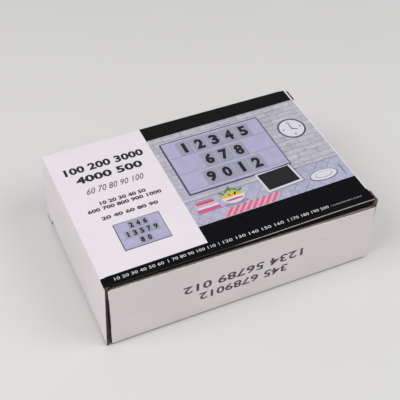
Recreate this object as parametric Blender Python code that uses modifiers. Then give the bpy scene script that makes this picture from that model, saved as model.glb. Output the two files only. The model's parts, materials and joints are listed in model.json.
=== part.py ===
# A boxed cinema light box: the closed retail carton of corrugated board, with the lamp and its number cards
# packed in it.
# Metres, +Z up. X runs along the carton's long front, the front faces -Y, and the base rests on Z = 0.
# The origin is the centre of the footprint, with the left closure standing a little open at its foot.
from math import asin, cos, pi, radians, sin

import bmesh
import bpy
from mathutils import Matrix

# Carton
CARTON_LENGTH = 0.2220
CARTON_DEPTH = 0.1480
CARTON_HEIGHT = 0.0660
BOARD = 0.0016              # three-layer fine-flute board
FIT = 0.0003                # gap between pieces that touch
REVEAL = 0.0030             # how far the front panel's raw top edge stays below the top, at its left end
GLUE_SKEW = 0.0026          # the panel is glued a little askew, so its right end stays this much lower
GLUE_FLAP = 0.0180          # height of the flap glued behind the front panel
GLUE_FLAP_INSET = 0.0100    # its ends are cut short
CLOSURE_STAND = 0.0022      # how far the left closure's foot springs out
LIP_LENGTH = 0.0160         # tuck lip, from the closure's middle plane
LIP_RISE = 0.0030           # the lip slopes away from the panel it slides along
LIP_TAPER = 0.0060          # slant of the lip's two ends
LIP_CLEARANCE = 0.0005      # between the lip's root and the panel it slides along
SLIT = 0.0120               # length of the slits that lock each closure's fold
SLIT_GAP = 0.0006
TAB_CLEARANCE = 0.0004      # between the closure's end tabs and the carton's outer height
FLAP_LENGTH = 0.0500        # dust flaps
FLAP_TAPER = radians(26)    # slant of a dust flap's edge beside the closure's fold
FLAP_NOTCH = 0.0036         # a dust flap's other edge stays clear of the lip by this and a board
SLEEVE_BEND = 0.0022        # outer radius of the long folds
OVERRUN = 0.0020            # how far cutters pass the faces they cut
WELD = 0.00001              # points this close are one

# Packing
FOAM_LENGTH = 0.1500
FOAM_DEPTH = 0.1150
FOAM_THICKNESS = 0.0045
LEAFLET_LENGTH = 0.1480
LEAFLET_DEPTH = 0.1050
LEAFLET_LEAF = 0.0003
LEAFLET_FOLD = 0.0008       # outer thickness of the leaflet along its fold
INSERT_END_GAP = 0.0050     # between the packing insert's ends and the dust flaps

# Number cards
CARD_WIDTH = 0.0300
CARD_HEIGHT = 0.0370
CARD_THICKNESS = 0.0005
CARD_HEADROOM = 0.0037      # between the stacks and the insert over them
STACKS_PER_ROW = 4
STACK_SPACING = 0.0012
BAND_WIDTH = 0.0120
BAND_THICKNESS = 0.0004
ROW_OFFSET = 0.0300         # from the carton's middle to the middle of a row of stacks

# Lamp
LAMP_END_ROOM = 0.0080      # from the carton's ends to the lamp
LAMP_SIDE_ROOM = 0.0050     # from the carton's front and back to the lamp, on average
LAMP_WIDTH = CARTON_LENGTH - 2 * LAMP_END_ROOM
LAMP_HEIGHT = CARTON_DEPTH - 2 * LAMP_SIDE_ROOM
LAMP_DEPTH = 0.0380
LAMP_CORNER = 0.0060
BEZEL_DEPTH = 0.0080
BEZEL_FACE = 0.0090
BEZEL_SKIRT = 0.0018
BEZEL_EDGE = 0.0008
WALL = 0.0030
REAR_WALL = 0.0025
DIFFUSER = 0.0024
REFLECTOR = 0.0006
REFLECTOR_PLAY = 0.0020     # clears the light strips beside the sheet
RAIL_STEM = 0.0012
RAIL_CAP = 0.0042
RAIL_CAP_THICKNESS = 0.0008
RAIL_HEIGHT = 0.0034
CARD_ROWS = 3

# Lamp screws, posts and feet
POST_RADIUS = 0.0030
POST_INSET = 0.0075
SCREW_HEAD_RADIUS = 0.0023
SCREW_HEAD_HEIGHT = 0.0014
SCREW_RADIUS = 0.0009
SCREW_LENGTH = 0.0110
SCREW_SLOT = 0.0006
FOOT_RADIUS = 0.0040
FOOT_HEIGHT = 0.0010
FOOT_INSET = 0.0220         # from the lamp's short sides
KEYHOLE_RADIUS = 0.0040
KEYHOLE_SLOT = 0.0020
KEYHOLE_RISE = 0.0070
KEYHOLE_INSET = 0.0240      # from the lamp's short sides
KEYHOLE_DROP = 0.0270       # from the lamp's upper edge

# Lamp battery bay, for three cylindrical cells
CELL_LENGTH = 0.0505
CELL_RADIUS = 0.00725
CELLS = 3
CELL_PLAY = 0.0008
CONTACT_ROOM = 0.0055
BAY_WALL = 0.0014
BAY_OFFSET = 0.0180         # from the lamp's middle towards its lower edge
COVER_THICKNESS = 0.0014
COVER_MARGIN = 0.0035
COVER_TRAVEL = 0.0050
COVER_GROOVE = 0.0005
COVER_GROOVES = 5
COVER_GROOVE_PITCH = 0.0022
COVER_GROOVE_LENGTH = 0.0160
CONTACT_SIZE = 0.0110
CONTACT_THICKNESS = 0.0004
SPRING_RADIUS = 0.0030
SPRING_TIP_RADIUS = 0.0018
SPRING_WIRE = 0.0003
SPRING_TURNS = 4
SPRING_STEPS = 8            # points in each turn
SPRING_LENGTH = 0.0040
NUB_RADIUS = 0.0020
NUB_HEIGHT = 0.0008

# Lamp electrics
STRIP_END_ROOM = 0.0190     # from the ends of the short wall that a strip stands against
STRIP_WIDTH = 0.0070
STRIP_THICKNESS = 0.0010
STRIP_TOP_GAP = 0.0010
LED_LENGTH = 0.0035
LED_WIDTH = 0.0028
LED_THICKNESS = 0.0008
LEDS_PER_STRIP = 4
BOARD_LENGTH = 0.0240
BOARD_WIDTH = 0.0160
PCB = 0.0012
PCB_STANDOFF = 0.0030
PCB_POST_RADIUS = 0.0014
CHIP_SIZE = 0.0040
CHIP_HEIGHT = 0.0014
SOCKET_LENGTH = 0.0090
SOCKET_WIDTH = 0.0080
SOCKET_HEIGHT = 0.0032
SOCKET_MOUTH = 0.0005       # wall of the socket's shell
SOCKET_SPREAD = 0.0300
SWITCH_LENGTH = 0.0120
SWITCH_WIDTH = 0.0060
SWITCH_DEPTH = 0.0060
SWITCH_OFFSET = 0.0200
SLIDER_LENGTH = 0.0040
SLIDER_WIDTH = 0.0024
SLIDER_PROUD = 0.0015
SLIDER_TRAVEL = 0.0024
WIRE_RADIUS = 0.0006

# What follows from the sizes above
half_board = BOARD / 2
closure_drop = CARTON_HEIGHT - 2 * BOARD - LIP_CLEARANCE     # hinge axis to the lip's middle plane
stand_angle = asin(CLOSURE_STAND / (CARTON_HEIGHT - half_board - TAB_CLEARANCE))
left = -CARTON_LENGTH / 2 + CLOSURE_STAND / 2
right = left + CARTON_LENGTH
middle = (left + right) / 2
front = -CARTON_DEPTH / 2
back = CARTON_DEPTH / 2
inner_top = CARTON_HEIGHT - BOARD
foam_top = inner_top - FIT
leaflet_top = foam_top - FOAM_THICKNESS - FIT
lamp_front = leaflet_top - LEAFLET_FOLD - FIT
lamp_rear = lamp_front - LAMP_DEPTH
rim = lamp_rear + LAMP_DEPTH - BEZEL_DEPTH                   # where the housing meets the bezel
insert_top = lamp_rear - FIT
card_floor = BOARD + 2 * FIT + BAND_THICKNESS
cards_per_stack = round((insert_top - BOARD - CARD_HEADROOM - card_floor) / CARD_THICKNESS)
floor = lamp_rear + REAR_WALL                                # inner face of the lamp's rear wall
bay_length = CELL_LENGTH + 2 * CONTACT_ROOM
bay_width = CELLS * 2 * (CELL_RADIUS + CELL_PLAY)
bay_depth = 2 * (CELL_RADIUS + CELL_PLAY)
bay_roof = lamp_rear + COVER_THICKNESS + FIT + bay_depth + BAY_WALL
lamp_y = (BOARD + FIT) / 2                                   # the glue flap takes a board's room in front
bay_y = lamp_y - BAY_OFFSET
electrics_z = floor + PCB_STANDOFF + PCB + FIT + SOCKET_HEIGHT / 2
switch_y = lamp_y + SWITCH_OFFSET
socket_y = switch_y - SOCKET_SPREAD
foot_spread = LAMP_WIDTH / 2 - FOOT_INSET
keyhole_spread = LAMP_WIDTH / 2 - KEYHOLE_INSET
keyhole_up = LAMP_HEIGHT / 2 - KEYHOLE_DROP
strip_length = LAMP_HEIGHT - 2 * STRIP_END_ROOM


def clear_scene():
    for item in list(bpy.data.objects):
        bpy.data.objects.remove(item, do_unlink=True)


def new_collection(name):
    collection = bpy.data.collections.new(name)
    bpy.context.scene.collection.children.link(collection)
    return collection


def linear(channel):
    share = channel / 255
    return share / 12.92 if share <= 0.04045 else ((share + 0.055) / 1.055) ** 2.4


def new_material(name, colour, roughness, metallic=0.0, alpha=1.0):
    material = bpy.data.materials.new(name)
    material.use_nodes = True
    shader = material.node_tree.nodes["Principled BSDF"]
    tint = tuple(linear(int(colour[place:place + 2], 16)) for place in (0, 2, 4))
    shader.inputs["Base Color"].default_value = tint + (1.0,)
    shader.inputs["Roughness"].default_value = roughness
    shader.inputs["Metallic"].default_value = metallic
    shader.inputs["Alpha"].default_value = alpha
    material.diffuse_color = tint + (alpha,)
    return material


def place(mesh, name, material, at=(0, 0, 0), collection=None):
    item = bpy.data.objects.new(name, mesh)
    item.location = at
    if material:
        mesh.materials.append(material)
    (collection or parts).objects.link(item)
    return item


def mesh_from(shape, name):
    mesh = bpy.data.meshes.new(name)
    bmesh.ops.recalc_face_normals(shape, faces=shape.faces)
    shape.to_mesh(mesh)
    shape.free()
    return mesh


def box_mesh(size, centre=(0, 0, 0)):
    shape = bmesh.new()
    bmesh.ops.create_cube(shape, size=1)
    bmesh.ops.scale(shape, vec=size, verts=shape.verts)
    bmesh.ops.translate(shape, vec=centre, verts=shape.verts)
    return mesh_from(shape, "box")


def cylinder_mesh(radius, depth, centre=(0, 0, 0), axis="Z", sides=16):
    turns = {
        "X": Matrix.Rotation(pi / 2, 3, "Y"),
        "Y": Matrix.Rotation(-pi / 2, 3, "X"),
        "Z": Matrix.Identity(3),
    }
    shape = bmesh.new()
    bmesh.ops.create_cone(shape, cap_ends=True, segments=sides, radius1=radius, radius2=radius, depth=depth)
    bmesh.ops.rotate(shape, cent=(0, 0, 0), matrix=turns[axis], verts=shape.verts)
    bmesh.ops.translate(shape, vec=centre, verts=shape.verts)
    return mesh_from(shape, "cylinder")


def evaluated_mesh(item):
    # The object's mesh with its modifiers applied and a curve's loose caps welded on.
    graph = bpy.context.evaluated_depsgraph_get()
    mesh = bpy.data.meshes.new_from_object(item.evaluated_get(graph))
    shape = bmesh.new()
    shape.from_mesh(mesh)
    bmesh.ops.remove_doubles(shape, verts=shape.verts, dist=WELD)
    shape.to_mesh(mesh)
    shape.free()
    mesh.materials.clear()
    return mesh


def outline_mesh(points, thickness, plane="XY", centre=(0, 0, 0)):
    # A flat outline with a thickness. In plane XZ the thickness runs along Y, and in YZ along X.
    turns = {
        "XY": Matrix.Identity(4),
        "XZ": Matrix.Rotation(pi / 2, 4, "X"),
        "YZ": Matrix.Rotation(pi / 2, 4, "Z") @ Matrix.Rotation(pi / 2, 4, "X"),
    }
    curve = bpy.data.curves.new("outline", "CURVE")
    curve.dimensions = "2D"
    curve.fill_mode = "BOTH"
    curve.extrude = thickness / 2
    spline = curve.splines.new("POLY")
    spline.points.add(len(points) - 1)
    for spot, (across, up) in zip(spline.points, points):
        spot.co = (across, up, 0, 1)
    spline.use_cyclic_u = True
    guide = bpy.data.objects.new("outline", curve)
    bpy.context.scene.collection.objects.link(guide)
    mesh = evaluated_mesh(guide)
    bpy.data.objects.remove(guide)
    bpy.data.curves.remove(curve)
    mesh.transform(Matrix.Translation(centre) @ turns[plane])
    return mesh


def cut(item, mesh, name, keep="DIFFERENCE"):
    # Cuts or joins another mesh, given in the same frame as the item's own mesh.
    cutter = place(mesh, name, None, item.location, cutters)
    cutter.rotation_euler = item.rotation_euler
    cutter.hide_render = True
    cutter.display_type = "WIRE"
    modifier = item.modifiers.new(name, "BOOLEAN")
    modifier.operation = keep
    modifier.object = cutter


def bevel(item, width, segments=2):
    modifier = item.modifiers.new("edges", "BEVEL")
    modifier.width = width
    modifier.segments = segments
    modifier.limit_method = "ANGLE"
    modifier.angle_limit = radians(40)


def arc(centre, radius, start, end, steps):
    angles = (start + (end - start) * step / steps for step in range(steps + 1))
    return [(centre[0] + radius * cos(angle), centre[1] + radius * sin(angle)) for angle in angles]


def rounded_rectangle(width, height, radius, steps=4):
    points = []
    for turn, (side, end) in enumerate(((1, 1), (-1, 1), (-1, -1), (1, -1))):
        middle_of_arc = (side * (width / 2 - radius), end * (height / 2 - radius))
        points += arc(middle_of_arc, radius, turn * pi / 2, (turn + 1) * pi / 2, steps)
    return points


def strip_outline(path, thickness, bend, steps=4):
    # Outline of bent board. The path is its outer face, bending left at each corner with that outer radius.
    outer, inner = [path[0]], []
    headings = [
        ((x1 - x0) / abs(x1 - x0 + y1 - y0), (y1 - y0) / abs(x1 - x0 + y1 - y0))
        for (x0, y0), (x1, y1) in zip(path, path[1:])
    ]
    normals = [(-run_y, run_x) for run_x, run_y in headings]
    inner.append((path[0][0] + normals[0][0] * thickness, path[0][1] + normals[0][1] * thickness))
    for (x, y), before, after in zip(path[1:-1], normals, normals[1:]):
        centre = (x + (before[0] + after[0]) * bend, y + (before[1] + after[1]) * bend)
        for step in range(steps + 1):
            swing = step / steps * pi / 2
            away = (
                before[0] * cos(swing) + after[0] * sin(swing),
                before[1] * cos(swing) + after[1] * sin(swing),
            )
            outer.append((centre[0] - away[0] * bend, centre[1] - away[1] * bend))
            inner.append((centre[0] - away[0] * (bend - thickness), centre[1] - away[1] * (bend - thickness)))
    outer.append(path[-1])
    inner.append((path[-1][0] + normals[-1][0] * thickness, path[-1][1] + normals[-1][1] * thickness))
    return outer + inner[::-1]


def make_sleeve():
    # The tube of four panels, wound from the front panel's raw top edge round to the flap glued behind it.
    crease = front + BOARD + FIT
    path = [
        (front, CARTON_HEIGHT - REVEAL + OVERRUN), (front, 0), (back, 0), (back, CARTON_HEIGHT),
        (crease, CARTON_HEIGHT), (crease, CARTON_HEIGHT - GLUE_FLAP),
    ]
    length = CARTON_LENGTH - 2 * (BOARD + FIT)
    sleeve = place(
        outline_mesh(strip_outline(path, BOARD, SLEEVE_BEND), length, "YZ", (middle, 0, 0)),
        "carton_sleeve", printed_board,
    )
    # The front panel's raw top edge slopes down to the right.
    beyond = CARTON_HEIGHT + OVERRUN
    skew = [
        (left, CARTON_HEIGHT - REVEAL), (right, CARTON_HEIGHT - REVEAL - GLUE_SKEW), (right, beyond), (left, beyond),
    ]
    depth = BOARD + 2 * FIT - FIT / 2
    cut(sleeve, outline_mesh(skew, depth, "XZ", (0, front - FIT + depth / 2, 0)), "skew_cutter")
    # The front and back panels end a board sooner, at the folds of the dust flaps.
    step = BOARD + FIT
    for side, end in (("left", -1), ("right", 1)):
        edge = middle + end * length / 2
        for face, towards, low_y in (("front", 1, front), ("back", -1, back)):
            size = (2 * step, 2 * BOARD + 2 * FIT, CARTON_HEIGHT - 2 * BOARD)
            centre = (edge, low_y + towards * (size[1] / 2 - FIT), CARTON_HEIGHT / 2)
            cut(sleeve, box_mesh(size, centre), f"{side}_{face}_fold_cutter")
        size = (2 * GLUE_FLAP_INSET, BOARD + FIT + OVERRUN, GLUE_FLAP + OVERRUN)
        centre = (edge, crease + (size[1] - FIT) / 2, CARTON_HEIGHT - BOARD - size[2] / 2)
        cut(sleeve, box_mesh(size, centre), f"{side}_glue_flap_cutter")


def end_place(is_left, across, up):
    # The right end is the left end turned half round about the carton's middle line.
    if is_left:
        return left + across, up
    return right - across, CARTON_HEIGHT - up


def make_closure(is_left):
    # An end panel with its tuck lip. It hangs from a round fold bead whose middle is the hinge axis.
    side = "left" if is_left else "right"
    tab_foot = CARTON_HEIGHT - half_board - TAB_CLEARANCE
    slope = LIP_RISE / LIP_LENGTH
    under = -(closure_drop + half_board)
    over = -(closure_drop - half_board)
    outline = [
        (-half_board, 0), (-half_board, -tab_foot), (half_board, -tab_foot),
        (half_board, under + slope * half_board), (LIP_LENGTH, under + LIP_RISE),
        (LIP_LENGTH, over + LIP_RISE), (half_board, over + slope * half_board),
    ] + arc((0, 0), half_board, 0, pi, 6)[:-1]
    width = CARTON_DEPTH - 2 * FIT
    closure = place(outline_mesh(outline, width, "XZ"), f"{side}_closure", printed_board)
    # Between the slits the panel rounds over into the lip instead of running on as a tab.
    bend = BOARD
    fold = arc((bend - half_board, under + bend), bend, pi, 1.5 * pi, 4)
    fold_cutter = [(-half_board - OVERRUN, under + bend)] + fold + [
        (half_board + OVERRUN, under), (half_board + OVERRUN, -tab_foot - OVERRUN),
        (-half_board - OVERRUN, -tab_foot - OVERRUN),
    ]
    cut(closure, outline_mesh(fold_cutter, width - 2 * SLIT, "XZ"), f"{side}_fold_cutter")
    for end in (-1, 1):
        face = "front" if end < 0 else "back"
        lip_end = end * (width / 2 - SLIT)
        slit = [
            (half_board, under + slope * half_board), (LIP_LENGTH + OVERRUN, under - OVERRUN),
            (LIP_LENGTH + OVERRUN, over + LIP_RISE + OVERRUN), (half_board, over + slope * half_board),
        ]
        centre = (0, lip_end + end * (SLIT + OVERRUN) / 2, 0)
        cut(closure, outline_mesh(slit, SLIT + OVERRUN, "XZ", centre), f"{side}_{face}_slit_cutter")
        slant = LIP_TAPER / (LIP_LENGTH - half_board - SLIT_GAP)
        taper = [
            (half_board + SLIT_GAP / 2, lip_end + end * slant * SLIT_GAP / 2),
            (LIP_LENGTH + OVERRUN, lip_end + end * slant * SLIT_GAP / 2),
            (LIP_LENGTH + OVERRUN, lip_end - end * (LIP_TAPER + slant * OVERRUN)),
        ]
        height = BOARD + LIP_RISE + 2 * OVERRUN
        middle_up = (under + over + LIP_RISE) / 2
        wedge = outline_mesh(taper[::end], height, "XY", (0, 0, middle_up))
        cut(closure, wedge, f"{side}_{face}_taper_cutter")
    across, up = end_place(is_left, half_board, CARTON_HEIGHT - half_board)
    settle(closure, across, 0, up, stand_angle if is_left else pi)


def settle(item, x, y, z, turn):
    # Puts an end piece at its hinge axis, turned about Y, together with its cutters.
    for member in [item] + [modifier.object for modifier in item.modifiers if modifier.type == "BOOLEAN"]:
        member.location = (x, y, z)
        member.rotation_euler = (0, turn, 0)


def make_dust_flap(is_left, is_front):
    # A flap on the front or back panel's upright edge, folded in behind the closure.
    side = "left" if is_left else "right"
    face = "front" if is_front else "back"
    towards = 1 if is_front else -1
    profile = arc((0, 0), half_board, pi, 2 * pi, 6) + [(half_board, FLAP_LENGTH), (-half_board, FLAP_LENGTH)]
    profile = [(across, towards * along) for across, along in profile]
    height = CARTON_HEIGHT - 2 * BOARD - 2 * FIT
    flap = place(outline_mesh(profile[::towards], height), f"{side}_{face}_dust_flap", plain_board)
    drop = FLAP_LENGTH * sin(FLAP_TAPER) / cos(FLAP_TAPER)
    slant = [
        (towards * half_board, height / 2), (towards * FLAP_LENGTH, height / 2 - drop),
        (towards * (FLAP_LENGTH + OVERRUN), height / 2 - drop),
        (towards * (FLAP_LENGTH + OVERRUN), height / 2 + OVERRUN),
        (towards * half_board, height / 2 + OVERRUN),
    ]
    cut(flap, outline_mesh(slant[::towards], BOARD + 2 * OVERRUN, "YZ"), f"{side}_{face}_slant_cutter")
    # The right front flap's whole edge is lowered, because the front panel it hangs on is lower there.
    start = -half_board - OVERRUN if is_front and not is_left else SLIT - half_board
    notch = (BOARD + 2 * OVERRUN, FLAP_LENGTH + OVERRUN - start, FLAP_NOTCH + OVERRUN)
    centre = (0, towards * (start + notch[1] / 2), -height / 2 + FLAP_NOTCH - notch[2] / 2)
    cut(flap, box_mesh(notch, centre), f"{side}_{face}_notch_cutter")
    across, up = end_place(is_left, 1.5 * BOARD + FIT, CARTON_HEIGHT / 2)
    edge = front if is_front else back
    settle(flap, across, edge + towards * half_board, up, 0 if is_left else pi)


def make_packing():
    # A folded insert carries the lamp over the card packs, and a foam sheet and the leaflet cover its face.
    length = CARTON_LENGTH - 4 * BOARD - 2 * FIT - 2 * INSERT_END_GAP
    low = BOARD + FIT
    near, far = front + BOARD + FIT, back - BOARD - FIT
    path = [(far, low), (far, insert_top), (near, insert_top), (near, low)]
    place(
        outline_mesh(strip_outline(path, BOARD, SLEEVE_BEND), length, "YZ", (middle, 0, 0)),
        "packing_insert", plain_board,
    )
    place(
        box_mesh((FOAM_LENGTH, FOAM_DEPTH, FOAM_THICKNESS)), "foam_sheet", foam,
        (middle, lamp_y, foam_top - FOAM_THICKNESS / 2),
    )
    half = LEAFLET_LENGTH / 2
    thick = LEAFLET_FOLD / 2
    fold = [
        (-half, -thick), (half - thick, -thick),
    ] + arc((half - thick, 0), thick, -pi / 2, pi / 2, 6)[1:] + [
        (-half, thick), (-half, thick - LEAFLET_LEAF), (half - thick, thick - LEAFLET_LEAF),
        (half - thick, LEAFLET_LEAF - thick), (-half, LEAFLET_LEAF - thick),
    ]
    place(
        outline_mesh(fold, LEAFLET_DEPTH, "XZ"), "instruction_leaflet", paper,
        (middle, lamp_y, leaflet_top - LEAFLET_FOLD / 2),
    )


def make_cards():
    # Two rows of stacks of number cards, each row held by a paper band.
    pitch = CARD_WIDTH + STACK_SPACING
    height = cards_per_stack * CARD_THICKNESS
    stack_up = card_floor + height / 2
    row_length = STACKS_PER_ROW * pitch - STACK_SPACING
    for row, side in (("front", -1), ("back", 1)):
        for stack in range(STACKS_PER_ROW):
            x = middle + (stack - (STACKS_PER_ROW - 1) / 2) * pitch
            place(
                box_mesh((CARD_WIDTH, CARD_HEIGHT, height)), f"{row}_number_cards_{stack + 1}", card_plastic,
                (x, side * ROW_OFFSET, stack_up),
            )
        inside = (row_length + 2 * FIT, BAND_WIDTH + 2 * OVERRUN, height + 2 * FIT)
        outside = (inside[0] + 2 * BAND_THICKNESS, BAND_WIDTH, inside[2] + 2 * BAND_THICKNESS)
        band = place(box_mesh(outside), f"{row}_card_band", paper, (middle, side * ROW_OFFSET, stack_up))
        cut(band, box_mesh(inside), f"{row}_band_cutter")


def post_places():
    for side in (-1, 1):
        for end in (-1, 1):
            yield middle + side * (LAMP_WIDTH / 2 - POST_INSET), lamp_y + end * (LAMP_HEIGHT / 2 - POST_INSET)


def make_housing():
    # The lamp's rear shell: a tray with the battery bay sunk into it from behind.
    depth = rim - lamp_rear
    centre = (middle, lamp_y, lamp_rear + depth / 2)
    housing = place(
        outline_mesh(rounded_rectangle(LAMP_WIDTH, LAMP_HEIGHT, LAMP_CORNER), depth, "XY", centre),
        "rear_housing", white_plastic,
    )
    inner = rounded_rectangle(LAMP_WIDTH - 2 * WALL, LAMP_HEIGHT - 2 * WALL, LAMP_CORNER - WALL)
    inner_depth = rim + OVERRUN - floor
    tray = outline_mesh(inner, inner_depth, "XY", (middle, lamp_y, floor + inner_depth / 2))
    cut(housing, tray, "tray_cutter")
    bay_outside = (bay_length + 2 * BAY_WALL, bay_width + 2 * BAY_WALL, bay_roof - floor + REAR_WALL / 2)
    cut(
        housing, box_mesh(bay_outside, (middle, bay_y, bay_roof - bay_outside[2] / 2)), "bay_wall", "UNION",
    )
    bay = (bay_length, bay_width, bay_depth + COVER_THICKNESS + FIT + OVERRUN)
    cut(housing, box_mesh(bay, (middle, bay_y, bay_roof - BAY_WALL - bay[2] / 2)), "bay_cutter")
    recess = (
        bay_length + 2 * COVER_MARGIN + 2 * FIT + COVER_TRAVEL, bay_width + 2 * COVER_MARGIN + 2 * FIT,
        COVER_THICKNESS + FIT + OVERRUN,
    )
    recess_centre = (middle + COVER_TRAVEL / 2, bay_y, lamp_rear + COVER_THICKNESS + FIT - recess[2] / 2)
    cut(housing, box_mesh(recess, recess_centre), "cover_recess")
    for number, (x, y) in enumerate(post_places(), 1):
        hole = cylinder_mesh(SCREW_RADIUS + FIT, 2 * REAR_WALL, (x, y, lamp_rear), sides=12)
        cut(housing, hole, f"screw_hole_{number}")
        head_depth = SCREW_HEAD_HEIGHT + FIT
        seat = cylinder_mesh(SCREW_HEAD_RADIUS + FIT, 2 * head_depth, (x, y, lamp_rear), sides=16)
        cut(housing, seat, f"screw_seat_{number}")
    for side in (-1, 1):
        x, y = middle + side * keyhole_spread, lamp_y + keyhole_up
        word = "left" if side < 0 else "right"
        hole = cylinder_mesh(KEYHOLE_RADIUS, 3 * REAR_WALL, (x, y, lamp_rear), sides=20)
        cut(housing, hole, f"{word}_keyhole")
        slot = (2 * KEYHOLE_SLOT, KEYHOLE_RISE, 3 * REAR_WALL)
        cut(housing, box_mesh(slot, (x, y + KEYHOLE_RISE / 2, lamp_rear)), f"{word}_keyhole_slot")
    # Four moulded posts carry the control board.
    board_x = middle + LAMP_WIDTH / 2 - WALL - FIT - BOARD_LENGTH / 2
    post_height = PCB_STANDOFF - FIT + REAR_WALL / 2
    for side in (-1, 1):
        for end in (-1, 1):
            x = board_x + side * (BOARD_LENGTH / 2 - 2 * PCB_POST_RADIUS)
            y = socket_y + end * (BOARD_WIDTH / 2 - 2 * PCB_POST_RADIUS)
            top = floor + PCB_STANDOFF - FIT
            post = cylinder_mesh(PCB_POST_RADIUS, post_height, (x, y, top - post_height / 2), sides=10)
            cut(housing, post, f"board_post_{side}_{end}", "UNION")
    wall_x = middle + LAMP_WIDTH / 2
    window = (2 * WALL + OVERRUN, SLIDER_LENGTH + SLIDER_TRAVEL + 2 * FIT, SLIDER_WIDTH + 2 * FIT)
    cut(housing, box_mesh(window, (wall_x, switch_y, electrics_z)), "switch_window")
    mouth = (2 * WALL + OVERRUN, SOCKET_WIDTH + 2 * FIT, SOCKET_HEIGHT + 2 * FIT)
    cut(housing, box_mesh(mouth, (wall_x, socket_y, electrics_z)), "socket_window")


def make_bezel():
    # The front frame, with a rebate for the diffuser and four screw posts that reach the rear wall.
    centre = (middle, lamp_y, rim + FIT + (BEZEL_DEPTH - FIT) / 2)
    outside = rounded_rectangle(LAMP_WIDTH, LAMP_HEIGHT, LAMP_CORNER)
    bezel = place(outline_mesh(outside, BEZEL_DEPTH - FIT, "XY", centre), "front_bezel", white_plastic)
    bevel(bezel, BEZEL_EDGE)
    opening = rounded_rectangle(LAMP_WIDTH - 2 * BEZEL_FACE, LAMP_HEIGHT - 2 * BEZEL_FACE, BEZEL_EDGE, 2)
    cut(bezel, outline_mesh(opening, BEZEL_DEPTH + 2 * OVERRUN, "XY", centre), "window_cutter")
    rebate = rounded_rectangle(
        LAMP_WIDTH - 2 * BEZEL_SKIRT, LAMP_HEIGHT - 2 * BEZEL_SKIRT, LAMP_CORNER - BEZEL_SKIRT,
    )
    depth = DIFFUSER + FIT + OVERRUN
    rebate_centre = (middle, lamp_y, rim + DIFFUSER + 2 * FIT - depth / 2)
    cut(bezel, outline_mesh(rebate, depth, "XY", rebate_centre), "rebate_cutter")
    low = floor + FIT
    high = rim + DIFFUSER + 3 * FIT
    for number, (x, y) in enumerate(post_places(), 1):
        post = cylinder_mesh(POST_RADIUS, high - low, (x, y, (low + high) / 2), sides=16)
        cut(bezel, post, f"post_{number}", "UNION")
        bore = cylinder_mesh(SCREW_RADIUS + FIT, 2 * SCREW_LENGTH, (x, y, low), sides=12)
        cut(bezel, bore, f"post_bore_{number}")


def make_diffuser():
    # The lit panel behind the cards, the white sheet behind it, and the rails that the cards slide in.
    size = (LAMP_WIDTH - 2 * BEZEL_SKIRT - 2 * FIT, LAMP_HEIGHT - 2 * BEZEL_SKIRT - 2 * FIT)
    corner = LAMP_CORNER - BEZEL_SKIRT - FIT
    panel_z = rim + FIT + DIFFUSER / 2
    panel = place(
        outline_mesh(rounded_rectangle(*size, corner), DIFFUSER, "XY", (middle, lamp_y, panel_z)),
        "diffuser_panel", opal_plastic,
    )
    sheet_size = (LAMP_WIDTH - 2 * WALL - 2 * REFLECTOR_PLAY, LAMP_HEIGHT - 2 * WALL - 2 * REFLECTOR_PLAY)
    sheet_z = bay_roof + FIT + REFLECTOR / 2
    sheet_outline = rounded_rectangle(*sheet_size, LAMP_CORNER - WALL)
    sheet_mesh = outline_mesh(sheet_outline, REFLECTOR, "XY", (middle, lamp_y, sheet_z))
    sheet = place(sheet_mesh, "reflector_sheet", white_card)
    for number, (x, y) in enumerate(post_places(), 1):
        for item, z in ((panel, panel_z), (sheet, sheet_z)):
            hole = cylinder_mesh(POST_RADIUS + FIT, DIFFUSER + 2 * OVERRUN, (x, y, z), sides=16)
            cut(item, hole, f"{item.name}_hole_{number}")
    rail_base = rim + 2 * FIT + DIFFUSER
    rail_length = LAMP_WIDTH - 2 * BEZEL_FACE - 2 * BEZEL_EDGE
    span = LAMP_HEIGHT - 2 * BEZEL_FACE - RAIL_CAP - 2 * FIT
    half_stem, half_cap = RAIL_STEM / 2, RAIL_CAP / 2
    shoulder = RAIL_HEIGHT - RAIL_CAP_THICKNESS
    profile = [
        (-half_cap, 0), (half_cap, 0), (half_cap, RAIL_CAP_THICKNESS), (half_stem, RAIL_CAP_THICKNESS),
        (half_stem, shoulder), (half_cap, shoulder), (half_cap, RAIL_HEIGHT), (-half_cap, RAIL_HEIGHT),
        (-half_cap, shoulder), (-half_stem, shoulder), (-half_stem, RAIL_CAP_THICKNESS),
        (-half_cap, RAIL_CAP_THICKNESS),
    ]
    for rail in range(CARD_ROWS + 1):
        y = lamp_y + (rail / CARD_ROWS - 0.5) * span
        spot = (middle, y, rail_base)
        place(outline_mesh(profile, rail_length, "YZ"), f"card_rail_{rail + 1}", clear_plastic, spot)


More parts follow.
